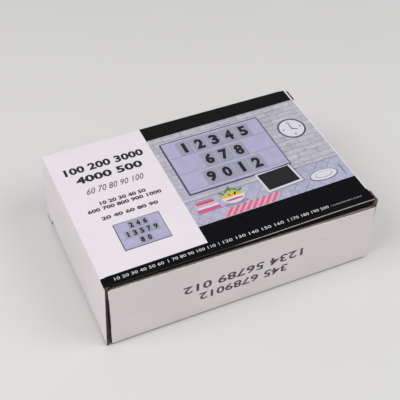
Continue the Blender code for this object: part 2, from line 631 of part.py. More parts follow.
def make_battery_bay():
    # The sliding cover with its thumb grooves, and the stamped contacts that link the cells end to end.
    cover_size = (bay_length + 2 * COVER_MARGIN, bay_width + 2 * COVER_MARGIN, COVER_THICKNESS)
    spot = (middle, bay_y, lamp_rear + COVER_THICKNESS / 2)
    cover = place(box_mesh(cover_size), "battery_cover", white_plastic, spot)
    for groove in range(COVER_GROOVES):
        x = cover_size[0] / 2 - (groove + 1.5) * COVER_GROOVE_PITCH
        size = (COVER_GROOVE_PITCH / 2, COVER_GROOVE_LENGTH, 2 * COVER_GROOVE)
        cut(cover, box_mesh(size, (x, 0, -COVER_THICKNESS / 2)), f"thumb_groove_{groove + 1}")
    # Each contact is given the end it stands at, the cells it serves and where it has a spring and a nub.
    cell_places = [(cell - (CELLS - 1) / 2) * bay_width / CELLS for cell in range(CELLS)]
    make_contact("left_end_contact", -1, cell_places[:1], spring_at=cell_places[0], nub_at=None)
    make_contact("left_link_contact", -1, cell_places[1:], spring_at=cell_places[2], nub_at=cell_places[1])
    make_contact("right_link_contact", 1, cell_places[:2], spring_at=cell_places[1], nub_at=cell_places[0])
    make_contact("right_end_contact", 1, cell_places[2:], spring_at=None, nub_at=cell_places[2])


def make_contact(name, end, served, spring_at, nub_at):
    mid_z = lamp_rear + COVER_THICKNESS + FIT + bay_depth / 2
    plate_x = middle + end * (bay_length / 2 - FIT - CONTACT_THICKNESS / 2)
    width = served[-1] - served[0] + CONTACT_SIZE
    centre_y = bay_y + (served[0] + served[-1]) / 2
    contact = place(
        box_mesh((CONTACT_THICKNESS, width, CONTACT_SIZE)), name, plated_steel, (plate_x, centre_y, mid_z),
    )
    if nub_at is not None:
        centre = (-end * NUB_HEIGHT / 2, bay_y + nub_at - centre_y, 0)
        nub = cylinder_mesh(NUB_RADIUS, NUB_HEIGHT + CONTACT_THICKNESS, centre, "X", 12)
        cut(contact, nub, f"{name}_nub", "UNION")
    if spring_at is not None:
        spring = spring_mesh(-end, bay_y + spring_at - centre_y)
        cut(contact, spring, f"{name}_spring", "UNION")


def spring_mesh(facing, y):
    # A conical coil that narrows away from the plate, whose middle plane its first turn lies in.
    curve = bpy.data.curves.new("spring", "CURVE")
    curve.dimensions = "3D"
    curve.bevel_depth = SPRING_WIRE
    curve.bevel_resolution = 1
    curve.use_fill_caps = True
    steps = SPRING_TURNS * SPRING_STEPS
    spline = curve.splines.new("POLY")
    spline.points.add(steps)
    for step, spot in enumerate(spline.points):
        done = step / steps
        radius = SPRING_RADIUS + (SPRING_TIP_RADIUS - SPRING_RADIUS) * done
        angle = 2 * pi * SPRING_TURNS * done
        spot.co = (facing * SPRING_LENGTH * done, y + radius * cos(angle), radius * sin(angle), 1)
    guide = bpy.data.objects.new("spring", curve)
    bpy.context.scene.collection.objects.link(guide)
    mesh = evaluated_mesh(guide)
    bpy.data.objects.remove(guide)
    bpy.data.curves.remove(curve)
    return mesh


def make_light_strips():
    # A strip of lamps stands against each short wall and shines across the tray.
    strip_z = rim - STRIP_TOP_GAP - STRIP_WIDTH / 2
    for side, word in ((-1, "left"), (1, "right")):
        x = middle + side * (LAMP_WIDTH / 2 - WALL - FIT - STRIP_THICKNESS / 2)
        place(
            box_mesh((STRIP_THICKNESS, strip_length, STRIP_WIDTH)), f"{word}_light_strip", circuit_board,
            (x, lamp_y, strip_z),
        )
        chip_x = x - side * (STRIP_THICKNESS / 2 + FIT + LED_THICKNESS / 2)
        for led in range(LEDS_PER_STRIP):
            y = lamp_y + (led - (LEDS_PER_STRIP - 1) / 2) * strip_length / LEDS_PER_STRIP
            place(
                box_mesh((LED_THICKNESS, LED_LENGTH, LED_WIDTH)), f"{word}_led_{led + 1}", led_yellow,
                (chip_x, y, strip_z),
            )


def make_electrics():
    # The control board on its posts, the power socket, the slide switch and the wires to the bay and strips.
    inner_x = middle + LAMP_WIDTH / 2 - WALL
    board_x = inner_x - FIT - BOARD_LENGTH / 2
    board_z = floor + PCB_STANDOFF
    place(
        box_mesh((BOARD_LENGTH, BOARD_WIDTH, PCB)), "control_board", circuit_board,
        (board_x, socket_y, board_z + PCB / 2),
    )
    chip_z = board_z + PCB + FIT + CHIP_HEIGHT / 2
    place(
        box_mesh((CHIP_SIZE, CHIP_SIZE, CHIP_HEIGHT)), "driver_chip", black_plastic,
        (board_x - BOARD_LENGTH / 4, socket_y, chip_z),
    )
    socket_x = middle + LAMP_WIDTH / 2 - WALL / 2 - SOCKET_LENGTH / 2
    socket = place(
        box_mesh((SOCKET_LENGTH, SOCKET_WIDTH, SOCKET_HEIGHT)), "power_socket", plated_steel,
        (socket_x, socket_y, electrics_z),
    )
    mouth = (SOCKET_LENGTH, SOCKET_WIDTH - 2 * SOCKET_MOUTH, SOCKET_HEIGHT - 2 * SOCKET_MOUTH)
    cut(socket, box_mesh(mouth, (SOCKET_MOUTH, 0, 0)), "socket_mouth")
    switch_x = inner_x - FIT - SWITCH_DEPTH / 2
    body = place(
        box_mesh((SWITCH_DEPTH, SWITCH_LENGTH, SWITCH_WIDTH)), "switch_body", black_plastic,
        (switch_x, switch_y, electrics_z),
    )
    slot = (SWITCH_DEPTH, SLIDER_LENGTH + SLIDER_TRAVEL + 2 * FIT, SLIDER_WIDTH + 2 * FIT)
    cut(body, box_mesh(slot, (SWITCH_DEPTH / 2, 0, 0)), "slider_slot")
    slider_length = SWITCH_DEPTH / 2 + WALL + SLIDER_PROUD
    slider = place(
        box_mesh((slider_length, SLIDER_LENGTH, SLIDER_WIDTH)), "switch_slider", black_plastic,
        (inner_x + WALL + SLIDER_PROUD - slider_length / 2, switch_y - SLIDER_TRAVEL / 2, electrics_z),
    )
    bevel(slider, FIT, 1)


def wire(name, points, material):
    curve = bpy.data.curves.new(name, "CURVE")
    curve.dimensions = "3D"
    curve.bevel_depth = WIRE_RADIUS
    curve.bevel_resolution = 2
    curve.use_fill_caps = True
    spline = curve.splines.new("POLY")
    spline.points.add(len(points) - 1)
    for spot, point in zip(spline.points, points):
        spot.co = (*point, 1)
    curve.materials.append(material)
    item = bpy.data.objects.new(name, curve)
    parts.objects.link(item)


def smooth_route(corners, rounds):
    # Cuts each corner of the route again and again, which rounds it without ever passing outside it.
    points = corners
    for _ in range(rounds):
        finer = [points[0]]
        for start, end in zip(points, points[1:]):
            finer.append(tuple(0.75 * a + 0.25 * b for a, b in zip(start, end)))
            finer.append(tuple(0.25 * a + 0.75 * b for a, b in zip(start, end)))
        points = finer + [points[-1]]
    return points


def make_wires():
    # Two wires run from the bay to the control board, along the rear wall.
    lie = floor + FIT + WIRE_RADIUS
    bay_edge = middle + bay_length / 2 + BAY_WALL + FIT + WIRE_RADIUS
    board_edge = middle + LAMP_WIDTH / 2 - WALL - FIT - BOARD_LENGTH - FIT - WIRE_RADIUS
    for name, material, shift in (("red_wire", red_vinyl, 1), ("black_wire", black_vinyl, -1)):
        y0 = bay_y + shift * bay_width / 4
        y1 = socket_y + shift * BOARD_WIDTH / 4
        corners = [
            (bay_edge, y0, lie + PCB_STANDOFF), (bay_edge, y0, lie),
            ((bay_edge + board_edge) / 2, (y0 + y1) / 2, lie),
            (board_edge, y1, lie), (board_edge, y1, lie + PCB_STANDOFF),
        ]
        wire(name, smooth_route(corners, 2), material)


def make_fasteners():
    # Four screws from behind into the bezel's posts, and feet on the lamp's lower edge.
    head_z = lamp_rear + FIT / 2
    for number, (x, y) in enumerate(post_places(), 1):
        head = cylinder_mesh(SCREW_HEAD_RADIUS, SCREW_HEAD_HEIGHT, (0, 0, SCREW_HEAD_HEIGHT / 2), sides=16)
        screw = place(head, f"housing_screw_{number}", plated_steel, (x, y, head_z))
        shank_middle = (SCREW_HEAD_HEIGHT + SCREW_LENGTH) / 2
        shank = cylinder_mesh(SCREW_RADIUS, SCREW_LENGTH, (0, 0, shank_middle), sides=10)
        cut(screw, shank, f"shank_{number}", "UNION")
        slot = (2 * SCREW_HEAD_RADIUS - 2 * SCREW_SLOT, SCREW_SLOT, SCREW_HEAD_HEIGHT)
        cut(screw, box_mesh(slot), f"drive_slot_{number}")
        cut(screw, box_mesh((slot[1], slot[0], slot[2])), f"cross_slot_{number}")
    foot_y = lamp_y - LAMP_HEIGHT / 2 - FIT - FOOT_HEIGHT / 2
    number = 1
    for side in (-1, 1):
        for height in (WALL + FOOT_RADIUS, LAMP_DEPTH - BEZEL_DEPTH - WALL - FOOT_RADIUS):
            foot = cylinder_mesh(FOOT_RADIUS, FOOT_HEIGHT, axis="Y", sides=20)
            spot = (middle + side * foot_spread, foot_y, lamp_rear + height)
            place(foot, f"rubber_foot_{number}", rubber, spot)
            number += 1


clear_scene()
parts = new_collection("boxed_light_box")
cutters = new_collection("cutters")
cutters.hide_render = True

printed_board = new_material("printed_corrugated_board", "E4DCE2", 0.45)
plain_board = new_material("kraft_corrugated_board", "B08A62", 0.85)
white_plastic = new_material("white_moulded_plastic", "EDECE8", 0.35)
opal_plastic = new_material("opal_acrylic", "F4F4F0", 0.3)
clear_plastic = new_material("clear_acrylic", "DCE4E6", 0.1, alpha=0.4)
white_card = new_material("white_card", "F2F2EE", 0.7)
card_plastic = new_material("printed_card_plastic", "C9C6D6", 0.25)
paper = new_material("leaflet_paper", "ECE9E2", 0.8)
foam = new_material("white_foam_sheet", "F0F0EC", 0.9)
circuit_board = new_material("circuit_board", "E8E6DC", 0.5)
led_yellow = new_material("lamp_phosphor", "E8CE5A", 0.4)
black_plastic = new_material("black_moulded_plastic", "1C1C1E", 0.45)
plated_steel = new_material("nickel_plated_steel", "BFC1C2", 0.3, 1.0)
red_vinyl = new_material("red_vinyl", "B3201C", 0.4)
black_vinyl = new_material("black_vinyl", "1A1A1A", 0.4)
rubber = new_material("soft_rubber", "2A2A2A", 0.8)

make_sleeve()
for left_end in (True, False):
    make_closure(left_end)
    for front_flap in (True, False):
        make_dust_flap(left_end, front_flap)
make_packing()
make_cards()
make_housing()
make_bezel()
make_diffuser()
make_battery_bay()
make_light_strips()
make_electrics()
make_wires()
make_fasteners()
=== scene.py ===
# Looks for a boxed cinema light box: the printed carton, its fluted board, and the lamp packed in it.
import json
import math

import bmesh
import bpy
from mathutils import Matrix, Vector, noise


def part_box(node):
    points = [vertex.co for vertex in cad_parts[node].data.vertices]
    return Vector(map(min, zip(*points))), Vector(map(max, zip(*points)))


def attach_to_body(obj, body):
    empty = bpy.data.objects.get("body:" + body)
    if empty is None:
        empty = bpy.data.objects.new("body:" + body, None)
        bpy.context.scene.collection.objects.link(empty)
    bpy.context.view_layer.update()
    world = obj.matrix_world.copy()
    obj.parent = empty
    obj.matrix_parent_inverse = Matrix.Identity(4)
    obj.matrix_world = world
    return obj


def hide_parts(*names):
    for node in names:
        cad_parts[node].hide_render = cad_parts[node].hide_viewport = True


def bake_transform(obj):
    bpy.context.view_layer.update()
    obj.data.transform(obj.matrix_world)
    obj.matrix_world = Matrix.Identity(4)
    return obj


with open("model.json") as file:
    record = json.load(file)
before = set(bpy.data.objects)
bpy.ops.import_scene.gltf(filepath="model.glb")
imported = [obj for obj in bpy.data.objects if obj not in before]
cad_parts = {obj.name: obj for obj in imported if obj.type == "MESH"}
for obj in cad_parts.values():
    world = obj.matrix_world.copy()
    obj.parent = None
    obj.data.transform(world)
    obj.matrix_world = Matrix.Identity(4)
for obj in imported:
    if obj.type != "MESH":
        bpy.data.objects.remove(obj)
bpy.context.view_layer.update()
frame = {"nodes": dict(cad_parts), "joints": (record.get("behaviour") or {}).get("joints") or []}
mm = 0.001
print("frame loaded:", len(frame["nodes"]), "nodes")

# What the frame gives: the carton's outside, and where each end piece turns
sleeveLow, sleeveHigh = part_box("carton_sleeve")
insertLow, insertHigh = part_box("packing_insert")
foamLow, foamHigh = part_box("foam_sheet")
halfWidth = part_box("left_closure")[1].y
hinges = {joint["name"]: Vector(joint["pos_m"]) for joint in frame["joints"] if "pos_m" in joint}

boardSpec = {
    "thickness": 1.6 * mm,  # fine-flute board, as in the part
    "liner": 0.3 * mm,  # each flat paper, with its glue
    "flutePitch": 3.3 * mm,
    "fluteSheet": 0.18 * mm,
    "fit": 0.3 * mm,  # gap between pieces that touch, as in the part
    "bend": 2.2 * mm,  # outer radius of a long fold
    "rag": 0.16 * mm,  # how far a cut edge wanders
    "ragGrain": 1.8 * mm,
    "rowSpacing": 12 * mm,  # between the rows of points along a flat panel
}
thickness, bend, rag = boardSpec["thickness"], boardSpec["bend"], boardSpec["rag"]
half = thickness / 2
step = thickness + boardSpec["fit"]
topZ = sleeveHigh.z
frontY, backY = sleeveLow.y, sleeveHigh.y
creaseY = frontY + step
leftX = hinges["left_closure_fold"].x - half
rightX = hinges["right_closure_fold"].x + half
panelLeft, panelRight = sleeveLow.x + step, sleeveHigh.x - step
cartonLength, cartonDepth = rightX - leftX, backY - frontY
middleX = (leftX + rightX) / 2


def clamped(share):
    return min(1.0, max(0.0, share))


# Colours and nodes

def ink(hexColour):
    channels = (int(hexColour[place:place + 2], 16) / 255 for place in (1, 3, 5))
    linear = [c / 12.92 if c <= 0.04045 else ((c + 0.055) / 1.055) ** 2.4 for c in channels]
    return (*linear, 1.0)


def addNode(tree, kind, inputs=None, **settings):
    # Adds a node and gives back its outputs. An input takes a value, a socket or a list of sockets
    node = tree.nodes.new(kind)
    for key, value in settings.items():
        setattr(node, key, value)
    for key, value in (inputs or {}).items():
        for given in value if isinstance(value, list) else [value]:
            if isinstance(given, bpy.types.NodeSocket):
                tree.links.new(given, node.inputs[key])
            else:
                node.inputs[key].default_value = given
    return node.outputs


def startMaterial(name, colour, roughness, metallic=0.0, **sockets):
    # A new material, and the place in object space, in metres, that its patterns follow
    material = bpy.data.materials.new(name)
    material.use_nodes = True
    material.diffuse_color = ink(colour)
    values = {"Base Color": ink(colour), "Roughness": roughness, "Metallic": metallic, **sockets}
    for key, value in values.items():
        material.node_tree.nodes["Principled BSDF"].inputs[key.replace("_", " ")].default_value = value
    return material, addNode(material.node_tree, "ShaderNodeTexCoord")["Object"]


def endMaterial(material, tone, relief=None, depth=0.0, strength=0.5):
    # Gives the material its colour, and its relief as bump
    tree = material.node_tree
    shader = tree.nodes["Principled BSDF"]
    tree.links.new(tone, shader.inputs["Base Color"])
    if relief is not None:
        bump = addNode(tree, "ShaderNodeBump", {"Height": relief, "Distance": depth, "Strength": strength})
        tree.links.new(bump["Normal"], shader.inputs["Normal"])
    return material


def mottle(place, size, detail=4.0, stretch=(1, 1, 1)):
    # Noise from 0 to 1 whose grain is about size metres wide, narrower along a stretched axis
    turned = addNode(place.id_data, "ShaderNodeMapping", {"Vector": place, "Scale": stretch})["Vector"]
    values = {"Vector": turned, "Scale": 1 / size, "Detail": detail, "Roughness": 0.6}
    return addNode(place.id_data, "ShaderNodeTexNoise", values)["Fac"]


def spread(value, low, high, start=0.0, end=1.0):
    # Takes a value between low and high smoothly to one between start and end
    values = {"Value": value, "From Min": low, "From Max": high, "To Min": start, "To Max": end}
    return addNode(value.id_data, "ShaderNodeMapRange", values, interpolation_type="SMOOTHSTEP")["Result"]


def blendInks(share, *tones):
    # Inputs 6 and 7 of a colour Mix are its two colours, and output 2 is the result
    first, second = (ink(tone) if isinstance(tone, str) else tone for tone in tones)
    return addNode(share.id_data, "ShaderNodeMix", {0: share, 6: first, 7: second}, data_type="RGBA")[2]


def cellsOf(place, size):
    # How far each spot lies from the middle of its cell, in an irregular pattern of cells
    return addNode(place.id_data, "ShaderNodeTexVoronoi", {"Vector": place, "Scale": 1 / size})["Distance"]


def reckon(operation, first, second=0.0):
    return addNode(first.id_data, "ShaderNodeMath", {0: first, 1: second}, operation=operation)[0]


def axesOf(place):
    return addNode(place.id_data, "ShaderNodeSeparateXYZ", {"Vector": place})


# Board and print finishes

wear = {
    "lineSink": 1.5 * mm,  # the rubbed line on the front fold starts this far down its bend
    "lineHalf": 0.40 * mm,
    "lineWander": 0.25 * mm,
    "lineFade": (-14 * mm, 6 * mm),  # to the right of here the fold is rubbed pale
    "edgeDeep": (0.6 * mm, 1.7 * mm),  # the front liner is worn through below its raw edge, left and right
    "edgeFrom": (40 * mm, 100 * mm),  # where that wear grows
    "edgeRag": 0.25 * mm,
    "paintedHighlight": (1.2 * mm, 0.3 * mm),  # a pale band, a painted highlight for the light caught by the pressed edge, above which it is worn through
    "footShade": 2.1 * mm,  # the bottom folds are painted darker up to this height, a painted shade for the contact shadow at the foot
    "flapShade": (9 * mm, 1 * mm),  # the flaps are painted dark this near the front and back, a painted shade for the gap behind the closure
}
sleeveSpec = {
    "reveal": 3.0 * mm,  # the front panel's raw edge lies this far below the top
    "glueSkew": 2.6 * mm,  # and this much further at its right end
    "glueFlap": 18 * mm,
    "glueInset": 3 * mm,  # the glue flap's ends are cut short
    "columnSpacing": 0.9 * mm,
    "creaseRoughness": 0.10 * mm,
    "creaseGrain": 5 * mm,
    "edgeGrain": (2.2 * mm, 0.7 * mm),
}


def makeCoatedWhite(name, light, dark, stainColour, stain, speckShare=0.57):
    # Clay-coated liner, offset printed: a smooth, slightly pinkish white, faintly mottled, with a few specks
    material, place = startMaterial(name, light, 0.42)
    tone = blendInks(spread(mottle(place, 46 * mm, 3.0), 0.35, 0.65), light, dark)
    tone = blendInks(spread(mottle(place, 7 * mm, 5.0, (1, 1, 2)), 0.55, 0.75, 0.0, stain), tone, stainColour)
    grit = cellsOf(place, 7 * mm)
    rare = spread(mottle(place, 12 * mm, 1.0), speckShare, speckShare + 0.04)
    tone = blendInks(reckon("MULTIPLY", spread(grit, 0.04, 0.07, 0.7, 0.0), rare), tone, "#6B605C")
    axes = axesOf(place)
    if name == "clay_coated_front_liner":  # a painted highlight, pale below the raw top edge, and worn through at it
        slope = sleeveSpec["glueSkew"] / (panelRight - panelLeft)
        fall = reckon("MULTIPLY", reckon("SUBTRACT", axes["X"], panelLeft), slope)
        deep = spread(axes["X"], *wear["edgeFrom"], *wear["edgeDeep"])
        rough = spread(mottle(place, 1.6 * mm, 3.0), 0.3, 0.7, -wear["edgeRag"], wear["edgeRag"])
        under = reckon("ADD", reckon("ADD", reckon("ADD", axes["Z"], fall), deep), rough)
        edge = topZ - sleeveSpec["reveal"]
        low, high = (edge - reach for reach in wear["paintedHighlight"])
        # Painted highlight: the band just under the raw edge is lightened, standing for light caught by the
        # pressed edge
        tone = blendInks(spread(under, low, high, 0.0, 0.75), tone, "#FBF3F0")
        tone = blendInks(spread(under, edge - 0.12 * mm, edge + 0.12 * mm), tone, "#5F4E4B")
    # Painted shade: darker near the floor, standing for the contact shadow under the bottom folds
    tone = blendInks(spread(axes["Z"], wear["footShade"] / 2, wear["footShade"], 0.95, 0.0), tone, "#38312F")
    if name == "clay_coated_flap_liner":  # painted shade: darkened along its fold, where it lies in the gap behind the closure
        low, high = (backY - reach for reach in wear["flapShade"])
        tone = blendInks(spread(reckon("ABSOLUTE", axes["Y"]), low, high, 0.0, 0.9), tone, "#35292A")
    return endMaterial(material, tone, mottle(place, 0.5 * mm), 0.02 * mm, 0.35)


def makeBlackInk():
    # Solid black offset ink: nearly flat black, hardly glossy, rubbed to pale paper along the front fold,
    # with a painted sheen that makes it lighter towards the back
    material, place = startMaterial("black_offset_ink", "#17161A", 0.5, Specular_IOR_Level=0.05)
    axes = axesOf(place)
    # Painted reflection: lighter towards the back, standing for the gloss catching the sky at a grazing angle
    tone = blendInks(spread(axes["Y"], frontY, backY), "#0B0B0E", "#151715")
    tone = blendInks(spread(mottle(place, 6 * mm), 0.35, 0.7, 0.0, 0.3), tone, "#19181B")
    around = reckon("ADD", reckon("SUBTRACT", axes["Y"], creaseY), reckon("SUBTRACT", axes["Z"], topZ))
    sink = spread(axes["X"], 0.0, 100 * mm, wear["lineSink"], 0.0)
    stray = reckon("MULTIPLY", mottle(place, 9 * mm), wear["lineWander"])
    away = reckon("SUBTRACT", reckon("ABSOLUTE", reckon("ADD", around, sink)), stray)
    line = reckon("MULTIPLY", spread(away, wear["lineHalf"] / 3, wear["lineHalf"], 1.0, 0.0),
                  reckon("LESS_THAN", axes["Y"], 0.0))
    along = reckon("MULTIPLY", spread(axes["X"], *wear["lineFade"], 0.10, 1.0),
                   spread(mottle(place, 2.5 * mm, 5.0), 0.25, 0.45))
    tone = blendInks(reckon("MULTIPLY", line, along), tone, "#B4AFAD")
    tone = blendInks(spread(mottle(place, 1.1 * mm, 2.0), 0.74, 0.8, 0.0, 0.3), tone, "#5B5856")
    return endMaterial(material, tone, mottle(place, 0.5 * mm), 0.02 * mm, 0.3)


def makePaper(name, light, dark, roughness, cloudSize=12 * mm):
    # Uncoated paper: two near tones clouded over each other, and short fibres that catch the light
    material, place = startMaterial(name, light, roughness, Specular_IOR_Level=0.2)
    fibre, stretch = 0.6 * mm, (1, 3, 1)
    tone = blendInks(spread(mottle(place, cloudSize, 3.0), 0.3, 0.7, 0.0, 0.6), light, dark)
    tone = blendInks(spread(mottle(place, fibre, 2.0, stretch), 0.5, 0.75, 0.0, 0.45), tone, dark)
    return endMaterial(material, tone, mottle(place, fibre, 3.0, stretch), 0.05 * mm)


def makeInk(name, light, dark, grain=1.4 * mm, share=0.4):
    # A flat offset-printed colour: two near tones in a soft grain, as a coarse print screen gives
    material, place = startMaterial(name, light, 0.42, Specular_IOR_Level=0.3)
    tone = blendInks(spread(mottle(place, grain, 3.0), 0.3, 0.7, 0.0, share), light, dark)
    return endMaterial(material, tone, mottle(place, 0.5 * mm), 0.02 * mm, 0.25)


printSpec = {
    "askew": 0.0193,  # the print sits this far out of square on the top, metres per metre
    "frontAskew": 0.0125,
    "whiteEnd": 0.375,  # shares of the length: the white panel's right edge
    "plainMargin": 0.985,  # the back band stops here
    "endMargin": 0.7 * mm,  # unprinted strip along the right end, between the tabs
    "topBand": 0.1055,  # shares of the depth at the skew's middle: the back band's front edge
    "tableEdge": 0.632,
    "pictureEnd": 0.809,
    "frontStrip": 0.9225,  # the narrow black strip along the front, the whole length
    "skewMiddle": 0.4,
    "film": 0.012 * mm,  # each further layer of ink stands this much higher
}


def makeTiledInk(name, light, dark, joint, size, jointWidth, turn, offset, streak):
    # A printed picture of painted masonry: pale blocks, thin grey joints and soft brush marks
    material, place = startMaterial(name, light, 0.42, Specular_IOR_Level=0.3)
    tree = material.node_tree
    wobble = {"Vector": place, "Scale": 1 / (14 * mm), "Detail": 3.0}
    wobble = addNode(tree, "ShaderNodeTexNoise", wobble)["Color"]
    shifted = {0: wobble, 1: (0.9 * mm, 0.9 * mm, 0), 2: place}
    shifted = addNode(tree, "ShaderNodeVectorMath", shifted, operation="MULTIPLY_ADD")[0]
    turned = {"Vector": shifted, "Rotation": (0, 0, turn - printSpec["askew"]), "Location": (0.2, 0.3, 0)}
    blocks = addNode(tree, "ShaderNodeTexBrick", {
        "Vector": addNode(tree, "ShaderNodeMapping", turned)["Vector"], "Color1": ink(light),
        "Color2": ink(dark), "Mortar": ink(joint), "Scale": 1.0, "Mortar Size": jointWidth,
        "Mortar Smooth": 0.3, "Bias": -0.1, "Brick Width": size[0], "Row Height": size[1],
    }, offset=offset)["Color"]
    tone = blendInks(spread(mottle(place, 5 * mm, 6.0, streak), 0.4, 0.72, 0.0, 0.6), blocks, joint)
    tone = blendInks(spread(mottle(place, 30 * mm, 2.0), 0.35, 0.65, 0.0, 0.35), tone, light)
    return endMaterial(material, tone, mottle(place, 0.5 * mm), 0.02 * mm, 0.25)


whiteLiner = makeCoatedWhite("clay_coated_white_liner", "#E9E1E6", "#E6DFE4", "#D3C8CC", 0.10)
# The front liner is the top's white board in a darker tone: painted shade for the front, which gets less
# light
frontLiner = makeCoatedWhite("clay_coated_front_liner", "#E4DCDD", "#E0D9DA", "#C8BCBA", 0.20, 0.54)
endLiner = makeCoatedWhite("clay_coated_end_liner", "#E7DFE2", "#E0DADA", "#C9BEBC", 0.18)
flapLiner = makeCoatedWhite("clay_coated_flap_liner", "#E9E1E6", "#E3DBDF", "#CFC4C6", 0.2)
blackInk = makeBlackInk()
wallPrint = makeTiledInk("printed_painted_masonry", "#C6C3CC", "#B1AFBB", "#7E7C87",
                         (17 * mm, 5.6 * mm), 0.28 * mm, 0.0, 0.5, (1, 4, 1))
tablePrint = makeTiledInk("printed_pale_tiles", "#B9B8CC", "#B0AFC6", "#85849A",
                          (8.4 * mm, 8.4 * mm), 0.26 * mm, math.pi / 4, 0.0, (3, 1, 1))
kraftLiner = makePaper("kraft_inner_liner", "#9A8068", "#7C6652", 0.85)
flutingPaper = makePaper("semichemical_fluting", "#544543", "#332A28", 0.9)
cutEdge = makePaper("cut_coated_liner", "#CDBEB8", "#9C8A80", 0.9, 3 * mm)
cutKraft = makePaper("cut_kraft_liner", "#625551", "#443A38", 0.95, 4 * mm)
crushedEdge = makePaper("knife_crushed_edge", "#6E5E59", "#433735", 0.95, 3 * mm)
# Dark kraft for a fold's turned part: painted shade in the gap beside the left closure
shadedFold = makePaper("painted_shade_fold_kraft", "#4A3D3C", "#2E2524", 0.95, 3 * mm)
tornPaper = makePaper("torn_liner_fibres", "#A6957F", "#75655A", 0.95, 4 * mm)
print("board finishes made")


# Bent board: rows along a path, and sheets laid on it

def boardPath(corners, bend, spacing):
    # Rows along a board's outer face, which bends left: the point, its outward side and the run so far
    rows, run, here = [], 0.0, Vector(corners[0])
    for corner, after in zip(corners[1:], corners[2:] + [None]):
        heading = (Vector(corner) - here).normalized()
        side = Vector((heading.y, -heading.x))
        turn = heading.angle(Vector(after) - Vector(corner)) if after else 0.0
        stop = Vector(corner) - heading * bend * math.tan(turn / 2)
        length = (stop - here).length
        count = max(1, math.ceil(length / spacing))
        rows += [(here.lerp(stop, k / count), side, run + length * k / count) for k in range(count + 1)]
        run += length
        centre = stop - side * bend
        count = max(5, math.ceil(turn * bend / spacing))
        for k in range(1, count if after else 0):
            away = Matrix.Rotation(turn * k / count, 2) @ side
            rows.append((centre + away * bend, away, run + turn * bend * k / count))
        run += turn * bend
        here = centre + (Matrix.Rotation(turn, 2) @ side) * bend
    return rows


def withBreaks(rows, values):
    # Adds a row wherever a straight stretch crosses one of these values of the path's first coordinate
    result = [rows[0]]
    for before, after in zip(rows, rows[1:]):
        low, high = before[0].x, after[0].x
        crossed = [value for value in values if min(low, high) + 1e-6 < value < max(low, high) - 1e-6]
        for value in sorted(crossed, reverse=low > high):
            share = (value - low) / (high - low)
            run = before[2] + (after[2] - before[2]) * share
            result.append((before[0].lerp(after[0], share), after[1], run))
        result.append(after)
    return result


def stations(low, high, spacing, extra=()):
    # Evenly spread values from low to high, and these extra ones
    count = max(1, round((high - low) / spacing))
    inside = [value for value in extra if low < value < high]
    values = [low + (high - low) * k / count for k in range(1, count)]
    values = [value for value in values if all(abs(value - other) > spacing / 4 for other in inside)]
    return sorted([low, *values, *inside, high])


def thickSheet(rows, columns, place, near, far, keep=None, slotOf=None, edgeSlot=0):
    # A closed sheet over a grid, between two depths. place(row, column, depth) gives each point
    shape = bmesh.new()
    spots = {}

    def face(corners, slot):
        for corner in corners:
            if corner not in spots:
                i, j, below = corner
                spots[corner] = shape.verts.new(place(rows[i], columns[j], below))
        shape.faces.new([spots[corner] for corner in corners]).material_index = slot

    cells = [(i, j) for i in range(len(rows) - 1) for j in range(len(columns) - 1)]
    cells = {cell for cell in cells if keep is None or keep(*cell)}
    for i, j in sorted(cells):
        ring = [(i, j), (i, j + 1), (i + 1, j + 1), (i + 1, j)]
        face([(*at, near) for at in ring], slotOf(i, j) if slotOf else 0)
        face([(*at, far) for at in reversed(ring)], slotOf(i, j) if slotOf else 0)
        neighbours = ((i - 1, j), (i, j + 1), (i + 1, j), (i, j - 1))
        for neighbour, first, second in zip(neighbours, ring, ring[1:] + ring[:1]):
            if neighbour not in cells:
                face([(*first, near), (*first, far), (*second, far), (*second, near)], edgeSlot)
    return shape


def addPiece(name, mesh, smoothAngle):
    mesh.name = name
    mesh.shade_smooth()
    mesh.set_sharp_from_angle(angle=math.radians(smoothAngle))
    piece = bpy.data.objects.new(name, mesh)
    bpy.context.scene.collection.objects.link(piece)
    return piece


def joinShapes(name, shapes, materials, smoothAngle=35):
    # Joins bmesh shapes into one object, with outward normals
    whole = bmesh.new()
    for shape in shapes:
        bmesh.ops.recalc_face_normals(shape, faces=shape.faces)
        part = bpy.data.meshes.new("part")
        shape.to_mesh(part)
        shape.free()
        whole.from_mesh(part)
        bpy.data.meshes.remove(part)
    mesh = bpy.data.meshes.new(name)
    whole.to_mesh(mesh)
    whole.free()
    for material in materials:
        mesh.materials.append(material)
    return addPiece(name, mesh, smoothAngle)


def attach(piece, body, node=None):
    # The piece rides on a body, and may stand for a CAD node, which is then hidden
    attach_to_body(piece, body)
    if node:
        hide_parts(node)


def wander(x, y, z, size, reach):
    # A smooth shift of a point on an edge, the same each run
    return noise.noise(Vector((x, y, z)) / size) * reach


# Trees for what repeats: the waves of the fluting, and the fibres along a raw edge

def startTree(name, inputs):
    tree = bpy.data.node_groups.new(name, "GeometryNodeTree")
    for label, kind in {"Geometry": "Geometry", **inputs}.items():
        tree.interface.new_socket(label, in_out="INPUT", socket_type=f"NodeSocket{kind}")
    tree.interface.new_socket("Geometry", in_out="OUTPUT", socket_type="NodeSocketGeometry")
    return tree, addNode(tree, "NodeGroupInput")


def endTree(tree, geometry, finish):
    solid = addNode(tree, "GeometryNodeRealizeInstances", {"Geometry": geometry})[0]
    painted = addNode(tree, "GeometryNodeSetMaterial", {"Geometry": solid, "Material": finish})[0]
    addNode(tree, "NodeGroupOutput", {"Geometry": painted})
    return tree


